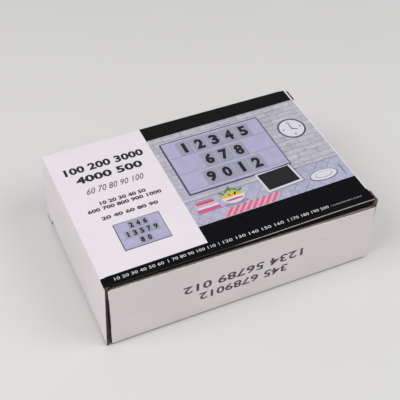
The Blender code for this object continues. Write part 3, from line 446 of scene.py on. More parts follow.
def makeFluteTree():
    # A flat grid whose points carry their run across the flutes is waved and given its thickness
    tree, given = startTree("corrugate_paper", {
        "Flute Pitch": "Float", "Wave Height": "Float", "Paper": "Float", "Finish": "Material",
    })
    run = addNode(tree, "GeometryNodeInputNamedAttribute", {"Name": "fluteRun"}, data_type="FLOAT")[0]
    phase = reckon("DIVIDE", reckon("MULTIPLY", run, 2 * math.pi), given["Flute Pitch"])
    lift = reckon("MULTIPLY", reckon("SINE", phase), reckon("DIVIDE", given["Wave Height"], 2.0))
    lift = reckon("SUBTRACT", lift, reckon("DIVIDE", given["Paper"], 2.0))
    normal = addNode(tree, "GeometryNodeInputNormal")["Normal"]
    offset = addNode(tree, "ShaderNodeVectorMath", {0: normal, "Scale": lift}, operation="SCALE")[0]
    waved = addNode(tree, "GeometryNodeSetPosition", {"Geometry": given["Geometry"], "Offset": offset})[0]
    lifted = {"Mesh": waved, "Offset Scale": given["Paper"], "Individual": False}
    lifted = addNode(tree, "GeometryNodeExtrudeMesh", lifted)["Mesh"]
    under = addNode(tree, "GeometryNodeFlipFaces", {"Mesh": waved})["Mesh"]
    joined = addNode(tree, "GeometryNodeJoinGeometry", {0: [lifted, under]})[0]
    merged = addNode(tree, "GeometryNodeMergeByDistance", {"Geometry": joined, "Distance": 0.001 * mm})[0]
    return endTree(tree, merged, given["Finish"])


def makeFibreTree():
    # Thin tapered slivers stand along an edge, each turned and scaled a little differently
    tree, given = startTree("tear_fibres", {
        "Count": "Int", "Length": "Float", "Breadth": "Float", "Scatter": "Vector", "Lean": "Vector",
        "Seed": "Int", "Finish": "Material",
    })
    points = addNode(tree, "GeometryNodeMeshToCurve", {"Mesh": given["Geometry"]})["Curve"]
    points = {"Curve": points, "Count": given["Count"]}
    points = addNode(tree, "GeometryNodeCurveToPoints", points, mode="COUNT")["Points"]
    back = addNode(tree, "ShaderNodeVectorMath", {0: given["Scatter"], "Scale": -1.0}, operation="SCALE")[0]
    shift = {0: back, 1: given["Scatter"], "Seed": given["Seed"]}
    shift = addNode(tree, "FunctionNodeRandomValue", shift, data_type="FLOAT_VECTOR")[0]
    points = addNode(tree, "GeometryNodeSetPosition", {"Geometry": points, "Offset": shift})[0]
    sliver = addNode(tree, "GeometryNodeMeshCone", {
        "Vertices": 3, "Radius Top": 0.01 * mm, "Radius Bottom": given["Breadth"], "Depth": given["Length"],
    })["Mesh"]
    stray = {0: (-0.7, -0.7, -0.7), 1: (0.7, 0.7, 0.7), "Seed": 11}
    stray = addNode(tree, "FunctionNodeRandomValue", stray, data_type="FLOAT_VECTOR")[0]
    heading = addNode(tree, "ShaderNodeVectorMath", {0: given["Lean"], 1: stray}, operation="ADD")[0]
    turned = addNode(tree, "FunctionNodeAlignRotationToVector", {"Vector": heading}, axis="Z")[0]
    size = addNode(tree, "FunctionNodeRandomValue", {2: 0.35, 3: 1.0, "Seed": 5}, data_type="FLOAT")[1]
    placed = {"Points": points, "Instance": sliver, "Rotation": turned, "Scale": size}
    placed = addNode(tree, "GeometryNodeInstanceOnPoints", placed)["Instances"]
    return endTree(tree, placed, given["Finish"])


def applyTree(name, shape, tree, values):
    # Runs a Geometry Nodes tree once on a mesh, and keeps its result as a plain mesh
    guideMesh = bpy.data.meshes.new("guide")
    shape.to_mesh(guideMesh)
    shape.free()
    guide = bpy.data.objects.new("guide", guideMesh)
    bpy.context.scene.collection.objects.link(guide)
    modifier = guide.modifiers.new("tree", "NODES")
    modifier.node_group = tree
    for item in tree.interface.items_tree:
        if item.in_out == "INPUT" and item.name in values:
            modifier[item.identifier] = values[item.name]
    bpy.context.view_layer.update()
    mesh = bpy.data.meshes.new_from_object(guide.evaluated_get(bpy.context.evaluated_depsgraph_get()))
    bpy.data.objects.remove(guide)
    bpy.data.meshes.remove(guideMesh)
    if "fluteRun" in mesh.attributes:
        mesh.attributes.remove(mesh.attributes["fluteRun"])
    return addPiece(name, mesh, 50)


fluteTree = makeFluteTree()
fibreTree = makeFibreTree()
fluteSpacing = boardSpec["flutePitch"] / 10


def growFibres(name, body, start, end, count, length, lean, scatter, seed, finish):
    shape = bmesh.new()
    shape.edges.new([shape.verts.new(start), shape.verts.new(end)])
    piece = applyTree(name, shape, fibreTree, {
        "Count": count, "Length": length, "Breadth": 0.09 * mm, "Scatter": scatter, "Lean": lean,
        "Seed": seed, "Finish": finish,
    })
    attach(piece, body)


def fluteGuide(shape, rows, columns, place, keep, acrossRows):
    # Adds the middle surface of one stretch of board, with each point's run across the flutes
    layer = shape.verts.layers.float.get("fluteRun") or shape.verts.layers.float.new("fluteRun")
    spots = {}
    for i in range(len(rows) - 1):
        for j in range(len(columns) - 1):
            if keep and not keep(i, j):
                continue
            ring = ((i, j), (i, j + 1), (i + 1, j + 1), (i + 1, j))
            for at in ring:
                if at not in spots:
                    row, column = rows[at[0]], columns[at[1]]
                    spots[at] = shape.verts.new(place(row, column, half))
                    spots[at][layer] = row[2] if acrossRows else column
            shape.faces.new([spots[at] for at in ring])


def layBoard(node, body, sheets, finishes, acrossRows):
    # Three pieces for one piece of board: its outer liner, its inner liner and the fluting between them
    liner = boardSpec["liner"]
    outer, inner, middle = [], [], bmesh.new()
    for sheet in sheets:
        keepFor = sheet.get("keepFor", lambda rows, columns: None)
        rows, columns, place = sheet["rows"], sheet["columns"], sheet["place"]
        slotOf = sheet["slotFor"](rows, columns) if "slotFor" in sheet else None
        keep = keepFor(rows, columns)
        outer.append(thickSheet(rows, columns, place, 0, liner, keep, slotOf, len(finishes) - 1))
        columns = sheet.get("plainColumns", columns)
        keep = keepFor(rows, columns)
        inner.append(thickSheet(rows, columns, place, thickness - liner, thickness, keep, None, 1))
        rows, columns = sheet["fluteRows"], sheet["fluteColumns"]
        fluteGuide(middle, rows, columns, place, keepFor(rows, columns), acrossRows)
    pieces = [
        joinShapes(f"{node}_outer_liner", outer, finishes),
        joinShapes(f"{node}_inner_liner", inner, [kraftLiner, cutKraft]),
        applyTree(f"{node}_fluting", middle, fluteTree, {
            "Flute Pitch": boardSpec["flutePitch"], "Paper": boardSpec["fluteSheet"], "Finish": flutingPaper,
            "Wave Height": thickness - 2 * liner - boardSpec["fluteSheet"],
        }),
    ]
    for piece in pieces:
        attach(piece, body, node)


# The printed design on the top, in shares: across from the left fold, down from the back fold

def acrossAt(share):
    return leftX + share * cartonLength


def downAt(share):
    return backY - share * cartonDepth


def askewAt(x):
    # How far back the print lies here
    return printSpec["askew"] * (x - acrossAt(printSpec["skewMiddle"]))


bowSpec = {
    "bend": 1.65 * mm,  # the fold behind the top is sharper than the others
    "reach": (1.0 * mm, 2.6 * mm),  # the back panel bows out below it, left and right
    "ends": (12 * mm, 5 * mm),  # and draws in again this near its ends
    "start": 24 * mm,  # from this height up
    "corner": (6 * mm, 2 * mm, 0.8),  # the top's right corner stays out by a share, this far down
}


def bowAt(x, z):
    # How far the back panel bows out here
    share = (x - leftX) / cartonLength
    bow = bowSpec["reach"][0] * (1 - share) + bowSpec["reach"][1] * share
    bow *= clamped((x - panelLeft) / bowSpec["ends"][0])
    inEnd = clamped((panelRight - x) / bowSpec["ends"][1])
    deep, shallow, stays = bowSpec["corner"]
    bow *= inEnd + (1 - inEnd) * clamped((z - topZ + deep) / (deep - shallow)) * stays
    rise = clamped((z - bowSpec["start"]) / (topZ - bowSpec["start"]))
    return bow * rise * rise * (3 - 2 * rise)


crushSpec = {
    "gap": 0.04 * mm,  # between the crushed ridge and each liner
    "drops": [0.0, 0.5 * mm, 1.2 * mm],
    "spacing": 0.5 * mm,
    "rag": 0.22 * mm,
    "grain": 1.1 * mm,
    "fibres": (  # each with its inset, count, length and seed
        ("inner", 1.45 * mm, 300, 1.2 * mm, 3, tornPaper),
        ("outer", 0.2 * mm, 70, 0.5 * mm, 8, cutEdge),
    ),
}


def makeSleeve():
    # The tube of four panels, wound from the front panel's raw top edge to the flap glued behind it
    spec = sleeveSpec
    flapLeft, flapRight = panelLeft + spec["glueInset"], panelRight - spec["glueInset"]
    edgeZ = topZ - spec["reveal"]
    corners = [(frontY, edgeZ), (frontY, 0), (backY, 0), (backY, topZ), (creaseY, topZ),
               (creaseY, topZ - spec["glueFlap"])]
    bandLine, tableLine, pictureLine, stripLine = (
        downAt(printSpec[key]) for key in ("topBand", "tableEdge", "pictureEnd", "frontStrip"))
    slitEnd = backY - closureSpec["slit"]
    breaks = (bandLine, tableLine, pictureLine, stripLine, -slitEnd, slitEnd)
    rows = withBreaks(boardPath(corners, bend, boardSpec["rowSpacing"]), breaks)
    flapRun = rows[-1][2] - spec["glueFlap"]
    whiteEnd, plainMargin = acrossAt(printSpec["whiteEnd"]), acrossAt(printSpec["plainMargin"])
    marginLeft = sleeveHigh.x - printSpec["endMargin"]
    printFront, printBack = creaseY + bend + 1 * mm, backY - bend - 1 * mm
    finishes = [whiteLiner, frontLiner, blackInk, wallPrint, tablePrint, cutEdge]
    white, front, black, wall, table = range(len(finishes) - 1)

    def keepFor(rows, columns):
        def keep(i, j):
            if abs(rows[i][1].x) < 0.94 or abs(rows[i + 1][1].x) < 0.94:  # the flaps swing past the rest
                return True
            low, high = (flapLeft, flapRight) if rows[i][2] > flapRun else (panelLeft, panelRight)
            return low < (columns[j] + columns[j + 1]) / 2 < high
        return keep

    def slotFor(rows, columns):
        def slotOf(i, j):
            point = (rows[i][0] + rows[i + 1][0]) / 2
            normal = rows[i][1] + rows[i + 1][1]
            across = (columns[j] + columns[j + 1]) / 2
            if rows[i][2] > flapRun or (normal.y > 0.1 and point.x < stripLine):
                return black
            if normal.y < 0.1:
                return front if point.x < frontY + bend else white
            if across < whiteEnd or (across > marginLeft and abs(point.x) < slitEnd):
                return white
            if point.x > bandLine:
                return black if across < plainMargin else white
            if point.x < pictureLine:
                return black
            return wall if point.x > tableLine else table
        return slotOf

    def place(row, column, below):
        point, normal, run = row
        if normal.y > 0.02 and point.x < 0:  # the worn fold along the top's front
            worn = wander(column, point.x, point.y, spec["creaseGrain"], spec["creaseRoughness"])
            below += abs(worn) * abs(normal.x)
        flat = point - normal * below
        if point.x > backY - bend - 1e-6:
            if point.y > topZ - bend - 1e-6:
                flat += Vector((1 - normal.x, 1 - normal.y)) * (bend - bowSpec["bend"])
            flat.x += bowAt(column, point.y)
        across, height = flat.x, flat.y
        if normal.y > 0.999 and printFront < point.x < printBack:
            across += askewAt(column)
        if point.x == frontY and normal.x < -0.999:  # the front panel is glued a little askew
            fall = spec["glueSkew"] * (column - panelLeft) / (panelRight - panelLeft)
            height -= fall * clamped(point.y / edgeZ)
        if run < 1e-6:  # the front panel's raw top edge
            height += wander(column, below, 3.0, spec["edgeGrain"][0], rag)
            height += wander(column, 7.0, below, spec["edgeGrain"][1], rag / 2)
        return Vector((column, across, height))

    ends = (panelLeft, flapLeft, flapRight, panelRight)
    plainColumns = [sleeveLow.x, *ends, sleeveHigh.x]
    extra = (*ends, whiteEnd, plainMargin, marginLeft)
    layBoard("carton_sleeve", "carton", [{
        "rows": rows, "columns": stations(sleeveLow.x, sleeveHigh.x, spec["columnSpacing"], extra),
        "plainColumns": plainColumns, "fluteRows": boardPath(corners, bend, fluteSpacing),
        "fluteColumns": plainColumns, "place": place, "keepFor": keepFor, "slotFor": slotFor,
    }], finishes, True)
    edgeLeft = edgeZ - 0.1 * mm
    edgeRight = edgeLeft - spec["glueSkew"]

    def placeCrushed(drop, x, below):
        # The knife closed the fluting here: a ragged ridge between the two liners
        share = (x - panelLeft) / (panelRight - panelLeft)
        height = edgeLeft - 0.05 * mm - spec["glueSkew"] * share - drop
        if drop < 1e-6:
            height += wander(x, below * 3, 2.0, crushSpec["grain"], crushSpec["rag"])
        return Vector((x, frontY + boardSpec["liner"] + crushSpec["gap"] + below, height))

    along = stations(panelLeft, panelRight, crushSpec["spacing"])
    thick = thickness - 2 * boardSpec["liner"] - 2 * crushSpec["gap"]
    ridge = thickSheet(crushSpec["drops"], along, placeCrushed, 0, thick)
    attach(joinShapes("front_panel_crushed_edge", [ridge], [crushedEdge]), "carton")
    for name, inset, count, length, seed, finish in crushSpec["fibres"]:
        growFibres(f"front_panel_{name}_torn_fibres", "carton", (panelLeft, frontY + inset, edgeLeft),
                   (panelRight, frontY + inset, edgeRight), count, length, (0, -0.25, 0.8),
                   (0.4 * mm, 0.1 * mm, 0.05 * mm), seed, finish)


closureSpec = {
    "stand": 2.2 * mm,  # how far the left foot stands out
    "tabClearance": 0.4 * mm,
    "lipClearance": 0.5 * mm,
    "lipLength": 16 * mm,
    "lipRise": 3 * mm,
    "lipTaper": 6 * mm,
    "slit": 12 * mm,
    "lipBend": 1.9 * mm,
    "tuckedIn": 2.0 * mm,  # the right closure's front end sits this far back, except near its tab
    "tuckRise": 36 * mm,
    "rowSpacing": 4 * mm,
    "tabRows": 0.8 * mm,
}
tabFoot = topZ - half - closureSpec["tabClearance"]
lipUnder = -(topZ - 2 * thickness - closureSpec["lipClearance"])
standAngle = math.asin(closureSpec["stand"] / tabFoot)


def makeClosure(side):
    # An end panel, hung from its fold, with the tuck lip between two slits and a straight tab at each end
    spec = closureSpec
    hinge = hinges[f"{side}_closure_fold"]
    turned = Matrix.Rotation(standAngle if side == "left" else math.pi, 4, "Y")
    settle = Matrix.Translation((hinge.x, 0, hinge.z)) @ turned
    slitY = halfWidth - spec["slit"]
    lipRun = -lipUnder - spec["lipBend"] + spec["lipBend"] * math.pi / 2

    def placeLip(row, y, below):
        point, normal, run = row
        flat = point - normal * below
        share = max(0.0, run - lipRun) / spec["lipLength"]
        return settle @ Vector((flat.x, y * (1 - share * spec["lipTaper"] / slitY), flat.y))

    def placeTab(row, y, below):
        flat = row[0] - row[1] * below
        if side == "right" and y < 0:
            tucked = clamped((tabFoot + flat.y) / spec["tuckRise"])
            y += spec["tuckedIn"] * (0.15 + 0.85 * tucked) * (-slitY - y) / spec["slit"]
            if abs(y + halfWidth) < 3 * mm:
                y += wander(flat.x, flat.y, y, boardSpec["ragGrain"], rag / 2)
        elif abs(y) > halfWidth - 1e-6:
            y -= math.copysign(rag / 2 + wander(flat.x, flat.y, y, boardSpec["ragGrain"], rag), y)
        return settle @ Vector((flat.x, y, flat.y))

    lipCorners = [(-half, 0), (-half, lipUnder), (spec["lipLength"], lipUnder + spec["lipRise"])]
    lipPath = boardPath(lipCorners, spec["lipBend"], spec["rowSpacing"])
    tabPath, tabPlain = (
        boardPath([(-half, 0), (-half, -tabFoot)], 0, spacing) for spacing in (spec["tabRows"], 8 * mm))
    sheets = [{
        "rows": lipPath, "columns": stations(-slitY, slitY, spec["rowSpacing"]),
        "plainColumns": [-slitY, 0, slitY], "fluteRows": lipPath,
        "fluteColumns": stations(-slitY, slitY, fluteSpacing), "place": placeLip,
    }]
    sheets += [{
        "rows": tabPath, "columns": stations(low, high, spec["rowSpacing"]), "fluteRows": tabPlain,
        "fluteColumns": stations(low, high, fluteSpacing), "place": placeTab,
    } for low, high in ((-halfWidth, -slitY), (slitY, halfWidth))]
    rawEdge = cutEdge if side == "left" else cutKraft
    layBoard(f"{side}_closure", f"{side}_end", sheets, [endLiner, rawEdge], False)
    top, foot = settle @ Vector((0, 0, -2 * mm)), settle @ Vector((0, 0, -tabFoot + 2 * mm))
    frontEnd = -halfWidth + (spec["tuckedIn"] if side == "right" else 0)
    growFibres(f"{side}_closure_torn_fibres", f"{side}_end", (top.x, frontEnd, top.z),
               (foot.x, frontEnd, foot.z), 70, 0.6 * mm, (0, -0.9, 0), (0.7 * mm, 0.05 * mm, 0.3 * mm), 21,
               tornPaper)


flapSpec = {
    "length": 50 * mm,
    "taper": math.radians(26),  # slant of the edge beside the closure's fold
    "notch": 3.6 * mm,  # the other edge stays clear of the lip
    "notchStart": 11.2 * mm,
    "shave": 0.15 * mm,  # each end of the flap's fold stays this clear of the sleeve's folds
}


def makeDustFlap(side, face):
    # A flap folded in behind a closure, slanted on one edge and notched along the other
    spec = flapSpec
    name = f"{side}_{face}"
    hinge = hinges[f"{name}_flap_fold"]
    low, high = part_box(f"{name}_dust_flap")
    tall = high.z - low.z - 2 * spec["shave"]
    inward = 1 if face == "front" else -1
    turned = Matrix.Rotation(0 if side == "left" else math.pi, 4, "Y")
    settle = Matrix.Translation((hinge.x, hinge.y, (low.z + high.z) / 2)) @ turned
    isNotched = name != "right_front"  # that flap's whole edge lies below the lip
    ledge = -tall / 2 + spec["notch"]

    def reach(z):
        # How far the flap runs from its fold at this height
        if isNotched and z < ledge:
            return spec["notchStart"]
        return min(spec["length"], half + (tall / 2 - z) / math.tan(spec["taper"]))

    def place(row, z, below):
        return settle @ Vector((row[0].x - row[1].x * below, inward * row[2] / spec["length"] * reach(z), z))

    path = [(Vector((-half, 0)), Vector((-1, 0)), run) for run in stations(0, spec["length"], 2 * mm)]
    corner = tall / 2 - (spec["length"] - half) * math.tan(spec["taper"])
    breaks = (ledge - 0.01 * mm, ledge, corner) if isNotched else (corner,)
    layBoard(f"{name}_dust_flap", f"{name}_flap", [{
        "rows": path, "columns": stations(-tall / 2, tall / 2, 3 * mm, breaks),
        "fluteRows": path[::4] + path[-1:],
        "fluteColumns": stations(-tall / 2, tall / 2, fluteSpacing, breaks), "place": place,
    }], [flapLiner, cutEdge], False)


def makeInsert():
    # The folded board that carries the lamp over the cards
    corners = [(insertHigh.y, insertLow.z), (insertHigh.y, insertHigh.z), (insertLow.y, insertHigh.z),
               (insertLow.y, insertLow.z)]
    layBoard("packing_insert", "carton", [{
        "rows": boardPath(corners, bend, boardSpec["rowSpacing"]),
        "columns": stations(insertLow.x, insertHigh.x, 10 * mm),
        "fluteRows": boardPath(corners, bend, fluteSpacing),
        "fluteColumns": [insertLow.x, middleX, insertHigh.x],
        "place": lambda row, x, below: Vector((x, *(row[0] - row[1] * below))),
    }], [kraftLiner, cutEdge], True)


# Folds between two bodies: crushed board rolled on the hinge line, and the printed paper drawn over it

foldSpec = {
    "rollRadius": 0.77 * mm,
    "rollSides": 12,
    "paper": 0.09 * mm,
    "lift": 0.02 * mm,  # the paper stands this far proud of both panels
    "reach": 1.6 * mm,  # and runs this far onto them
    "panelGap": 1.1 * mm,  # from the hinge line to the fixed panel's end
    "blendReach": 0.7 * mm,  # a reach beside the hinge line
    "swell": 0.8 * mm,  # the right front flap's fold bulges by this much
}


def makeFold(name, body, alongY, fixedAngle, movingAngle, low, high, finishes, slotFor=None, bulge=0):
    # fixedAngle and movingAngle are the two panels' outward directions, seen along the fold
    spec = foldSpec
    hinge = hinges[f"{body if 'flap' in body else name}_fold"]
    middle = Vector((hinge.x, hinge.z if alongY else hinge.y))
    sides = spec["rollSides"]

    def inSpace(point, along):
        return Vector((point.x, along, point.y)) if alongY else Vector((point.x, point.y, along))

    def aim(angle):
        return Vector((math.cos(angle), math.sin(angle)))

    roll = bmesh.new()
    rings = []
    for along in stations(low, high, 3 * mm):
        ring = []
        for k in range(sides):
            radius = spec["rollRadius"] - abs(wander(along, k, hinge.x, 3 * mm, 0.08 * mm))
            ring.append(roll.verts.new(inSpace(middle + aim(2 * math.pi * k / sides) * radius, along)))
        rings.append(ring)
    for ring, after in zip(rings, rings[1:]):
        for k in range(sides):
            roll.faces.new([ring[k], ring[(k + 1) % sides], after[(k + 1) % sides], after[k]])
    roll.faces.new(rings[0])
    roll.faces.new(rings[-1])
    attach(joinShapes(f"{name}_crushed_board", [roll], [cutKraft]), body, name)

    turn = (movingAngle - fixedAngle + math.pi) % (2 * math.pi) - math.pi
    side = 1 if turn > 0 else -1
    outside = half + spec["lift"]
    fixed, moving = aim(fixedAngle), aim(movingAngle)
    intoFixed = aim(fixedAngle - side * math.pi / 2)
    intoMoving = aim(movingAngle + side * math.pi / 2)
    first, last = middle + fixed * outside, middle + moving * outside
    rows = [
        (first + intoFixed * (spec["panelGap"] + spec["reach"]), fixed, -2.0),
        (first + intoFixed * spec["panelGap"], fixed, -1.0),
    ]
    # The bulge grows around the bend and dies out along the moving panel
    for k in range(9):
        away = aim(fixedAngle + turn * k / 8)
        push = moving * bulge * math.sin(math.pi * (0.05 + k / 8 * 0.6)) if k else Vector((0, 0))
        rows.append((middle + away * outside + push, away, k / 8))
    for k in range(1, 5):
        push = moving * bulge * 0.89 * (1 - k / 4) ** 2
        rows.append((last + intoMoving * spec["reach"] * k / 4 + push, moving, 1 + k / 4))
    columns = stations(low, high, 1.5 * mm)
    slotOf = slotFor(rows, columns) if slotFor else None

    def place(row, along, below):
        return inSpace(row[0] - row[1] * below, along)

    sheet = thickSheet(rows, columns, place, 0, spec["paper"], None, slotOf)
    skin = joinShapes(f"{name}_fold_paper", [sheet], finishes)
    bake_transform(skin)


def makeFolds():
    up, down, left, right = math.pi / 2, -math.pi / 2, math.pi, 0.0

    def stripSlots(rows, columns):
        # The black strip turns over the fold, with a rounded corner
        limit = downAt(printSpec["frontStrip"]) + askewAt(leftX)

        def slotOf(i, j):
            run = (rows[i][2] + rows[i + 1][2]) / 2
            inset = limit - (columns[j] + columns[j + 1]) / 2
            return 1 if inset > max(0.0, run - 0.5) ** 2 * 1.2 * mm and run < 1.85 else 0
        return slotOf

    def shadeSlots(rows, columns):
        # This fold's inner half is painted dark kraft, a painted shade for the gap beside the left closure,
        # most at mid-height
        def slotOf(i, j):
            run = (rows[i][2] + rows[i + 1][2]) / 2
            height = (columns[j] + columns[j + 1]) / 2 / topZ
            return 1 if run > (0.2 if 0.3 < height < 0.8 else 0.5) else 0
        return slotOf

    makeFold("left_closure", "left_end", True, up, left - standAngle, -halfWidth, halfWidth,
             [whiteLiner, blackInk], stripSlots)
    makeFold("right_closure", "right_end", True, down, right, -halfWidth + closureSpec["tuckedIn"], halfWidth,
             [endLiner])
    for side, moving in (("left", left), ("right", right)):
        for face, fixed, finish in (("front", down, frontLiner), ("back", up, whiteLiner)):
            name = f"{side}_{face}"
            low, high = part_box(f"{name}_dust_flap")
            isSeen = name == "left_front"
            top = topZ - sleeveSpec["reveal"] - 0.25 * mm if isSeen else high.z
            makeFold(f"{name}_dust_flap", f"{name}_flap", False, fixed, moving, low.z, top,
                     [finish, shadedFold], shadeSlots if isSeen else None,
                     foldSpec["swell"] if name == "right_front" else 0)


makeSleeve()
for side in ("left", "right"):
    makeClosure(side)
    for face in ("front", "back"):
        makeDustFlap(side, face)
makeInsert()
makeFolds()
print("board pieces made")


# The print: thin closed plates of ink, in millimetres across from the left fold and down from the back fold

inks = {key: makeInk(*values) for key, values in {
    "text": ("black_text_ink", "#1D1A20", "#2B272E"),
    "fineText": ("dark_grey_text_ink", "#4B4549", "#5A5457"),
    "frontText": ("worn_grey_text_ink", "#453F41", "#5C5455"),
    "whiteText": ("unprinted_white_text", "#DCD6D8", "#BDB6B8"),
    "outline": ("slate_blue_ink", "#4A4A5E", "#5E5E74"),
    "panel": ("lavender_ink", "#B4B0CC", "#A9A6C4", 5 * mm, 0.8),
    "rail": ("grey_lavender_ink", "#8C8AA2", "#9A98B0"),
    "card": ("card_grey_ink", "#9998A8", "#A7A6B6"),
    "glyph": ("glyph_black_ink", "#16151E", "#211F2A"),
    "white": ("white_ground_ink", "#DBD9E2", "#CFCDD8"),
    "screenBlack": ("slate_black_ink", "#17171A", "#202024"),
    "pink": ("magenta_pink_ink", "#C95384", "#D66C97"),
    "palePink": ("pale_pink_ink", "#DFA9B9", "#D598AC"),
    "stripe": ("rose_stripe_ink", "#CC6684", "#D67A94"),
    "yellow": ("lemon_ink", "#D6BE2E", "#C9A91F"),
    "green": ("leaf_green_ink", "#4E8440", "#6C9F4E"),
    "shade": ("printed_shadow", "#8B8AA0", "#9796AC"),
}.items()}
inkShapes = {key: [] for key in inks}


def onTop(point, lift):
    x = leftX + point[0] * mm
    y = backY - point[1] * mm + askewAt(x)
    past = creaseY + bend - y
    drop = bend - math.sqrt(max(0.0, bend ** 2 - past ** 2)) if past > 0 else 0.0
    return Vector((x, y, topZ - drop + lift))


def onFront(point, lift):
    # The front panel's print stands on its head
    x = leftX + point[0] * mm
    z = topZ - point[1] * mm + printSpec["frontAskew"] * (x - middleX)
    return Vector((x, frontY - lift, z))


def closeLoops(key, outlines, level, pairs, isFilled=False):
    # Each outline twice, under and over the print's surface, and faces between the pairs of these loops
    shape = bmesh.new()
    film = printSpec["film"]
    loops = [[shape.verts.new(onTop(point, lift)) for point in points]
             for lift in (-0.5 * film, level * film) for points in outlines]
    if isFilled:
        for loop in loops:
            shape.faces.new(loop)
    for k in range(len(outlines[0])):
        after = (k + 1) % len(outlines[0])
        for one, other in pairs:
            shape.faces.new([loops[one][k], loops[one][after], loops[other][after], loops[other][k]])
    inkShapes[key].append(shape)


def addPlate(key, level, outline):
    closeLoops(key, [outline], level, ((0, 1),), True)


def addBand(key, level, outline, width):
    # A line of this width inside a closed outline
    middle = sum((Vector(point) for point in outline), Vector((0, 0))) / len(outline)
    inner = []
    for k, point in enumerate(outline):
        before = (Vector(point) - Vector(outline[k - 1])).normalized()
        after = (Vector(outline[(k + 1) % len(outline)]) - Vector(point)).normalized()
        side = Vector((-(before + after).y, (before + after).x)).normalized()
        if side.dot(middle - Vector(point)) < 0:
            side = -side
        sine = max(0.3, abs(side.x * before.y - side.y * before.x))
        inner.append(Vector(point) + side * width / sine)
    closeLoops(key, [outline, inner], level, ((0, 1), (2, 3), (0, 2), (1, 3)))


def rectangle(left, back, right, front):
    return [(left, back), (right, back), (right, front), (left, front)]


def ellipse(across, down, wide, tall, count=24, turn=0.0, end=2 * math.pi):
    # A whole ellipse, or its part from the right around to this end angle
    points = []
    steps = count if end == 2 * math.pi else count - 1
    for k in range(count):
        x, y = wide * math.cos(end * k / steps), tall * math.sin(end * k / steps)
        cosine, sine = math.cos(turn), math.sin(turn)
        points.append((across + x * cosine - y * sine, down + x * sine + y * cosine))
    return points


def addDigits(key, digits, left, back, width, height, level=1, weight=0.0, slant=0.0, isOnFront=False):
    # A line of plain numbers, drawn to fill a box; weight thickens its strokes. Those in front are inverted
    curve = bpy.data.curves.new("digits", "FONT")
    curve.body = digits
    curve.resolution_u = 2
    curve.offset = weight
    curve.extrude = 0.01
    curve.shear = slant
    holder = bpy.data.objects.new("digits", curve)
    mesh = bpy.data.meshes.new_from_object(holder)
    bpy.data.objects.remove(holder)
    bpy.data.curves.remove(curve)
    shape = bmesh.new()
    shape.from_mesh(mesh)
    bpy.data.meshes.remove(mesh)
    bmesh.ops.remove_doubles(shape, verts=shape.verts, dist=1e-5)
    xs = [vert.co.x for vert in shape.verts]
    ys = [vert.co.y for vert in shape.verts]
    for vert in shape.verts:
        across = (vert.co.x - min(xs)) / (max(xs) - min(xs))
        down = 1 - (vert.co.y - min(ys)) / (max(ys) - min(ys))
        if isOnFront:
            across, down = 1 - across, 1 - down
        lift = (level if vert.co.z > 0 else -0.5) * printSpec["film"]
        vert.co = (onFront if isOnFront else onTop)((left + across * width, back + down * height), lift)
    inkShapes[key].append(shape)


def drawLightPanel(left, back, width, height, rows):
    # A picture of the lamp itself: an outlined panel, its rails, and a row of number cards on each
    scale = height / 63
    right, front = left + width, back + height
    addPlate("outline", 1, rectangle(left - 0.7 * scale, back + 1 * scale, right, front + 0.8 * scale))
    addPlate("panel", 2, rectangle(left, back, right, front))
    addBand("outline", 3, rectangle(left, back, right, front), 0.85 * scale + 0.1)
    cardWide, cardTall = width * 0.149, height * 0.262
    for k, digits in enumerate(rows):
        base = back + height * (0.315 + 0.308 * k)
        addPlate("rail", 3, rectangle(left + 1.8 * scale, base, right - 1.8 * scale, base + 0.55 * scale))
        start = left + (width - cardWide * len(digits)) / 2
        for place, digit in enumerate(digits):
            at = start + cardWide * place
            gap = 0.35 * scale
            addPlate("card", 3, rectangle(at + gap, base - cardTall, at + cardWide - gap, base))
            glyphWide = cardWide * (0.24 if digit == "1" else 0.56)
            addDigits("glyph", digit, at + (cardWide - glyphWide) / 2, base - cardTall * 0.87, glyphWide,
                      cardTall * 0.73, 4, 0.05)


def drawWords():
    # Lines of plain numbers, where such a carton says what it holds
    stripLine, stripTall = 139.5, 2.7
    for key, digits, left, back, width, height, *style in (
        ("text", "100 200 3000", 9.9, 21.2, 66.2, 8.2, 1, 0.04),
        ("text", "4000 500", 15.5, 33.6, 55.2, 8.0, 1, 0.04),
        ("fineText", "60 70 80 90 100", 19.2, 48.4, 47.6, 6.6, 1, 0.006, 0.45),
        ("fineText", "10 20 30 40 50", 24.6, 65.2, 37.4, 4.1, 1, 0.05),
        ("fineText", "600 700 800 900 1000", 13.0, 70.8, 59.8, 4.1, 1, 0.05),
        ("fineText", "20 40 60 80 90", 20.4, 81.0, 45.6, 4.0, 1, 0.05),
        ("whiteText", "10 20 30 40 50 60", 9.2, stripLine, 37.6, stripTall, 1, 0.006),
        ("whiteText", "70 80 90 100 110", 53.2, stripLine, 34.2, stripTall, 1, 0.006),
        ("whiteText", "120 130 140 150 160", 93.4, stripLine, 50.6, stripTall, 1, 0.006),
        ("whiteText", "170 180 190 200", 150.4, stripLine, 32.4, stripTall, 1, 0.006),
        ("whiteText", "1 2 3 4 5 6 7 8 9 10 11 12 13 14", 185.0, 140.6, 27.0, 1.3),
        ("frontText", "1234 56789 012", 59.3, 27.5, 99.9, 8.6, 1, 0.022, 0.0, True),
        ("frontText", "345 6789012", 72.2, 39.8, 74.6, 8.2, 1, 0.022, 0.0, True),
    ):
        addDigits(key, digits, left, back, width, height, *style)
    for at in (49.9, 90.0, 147.4):
        addPlate("whiteText", 1, rectangle(at, stripLine, at + 0.5, stripLine + 2.8))


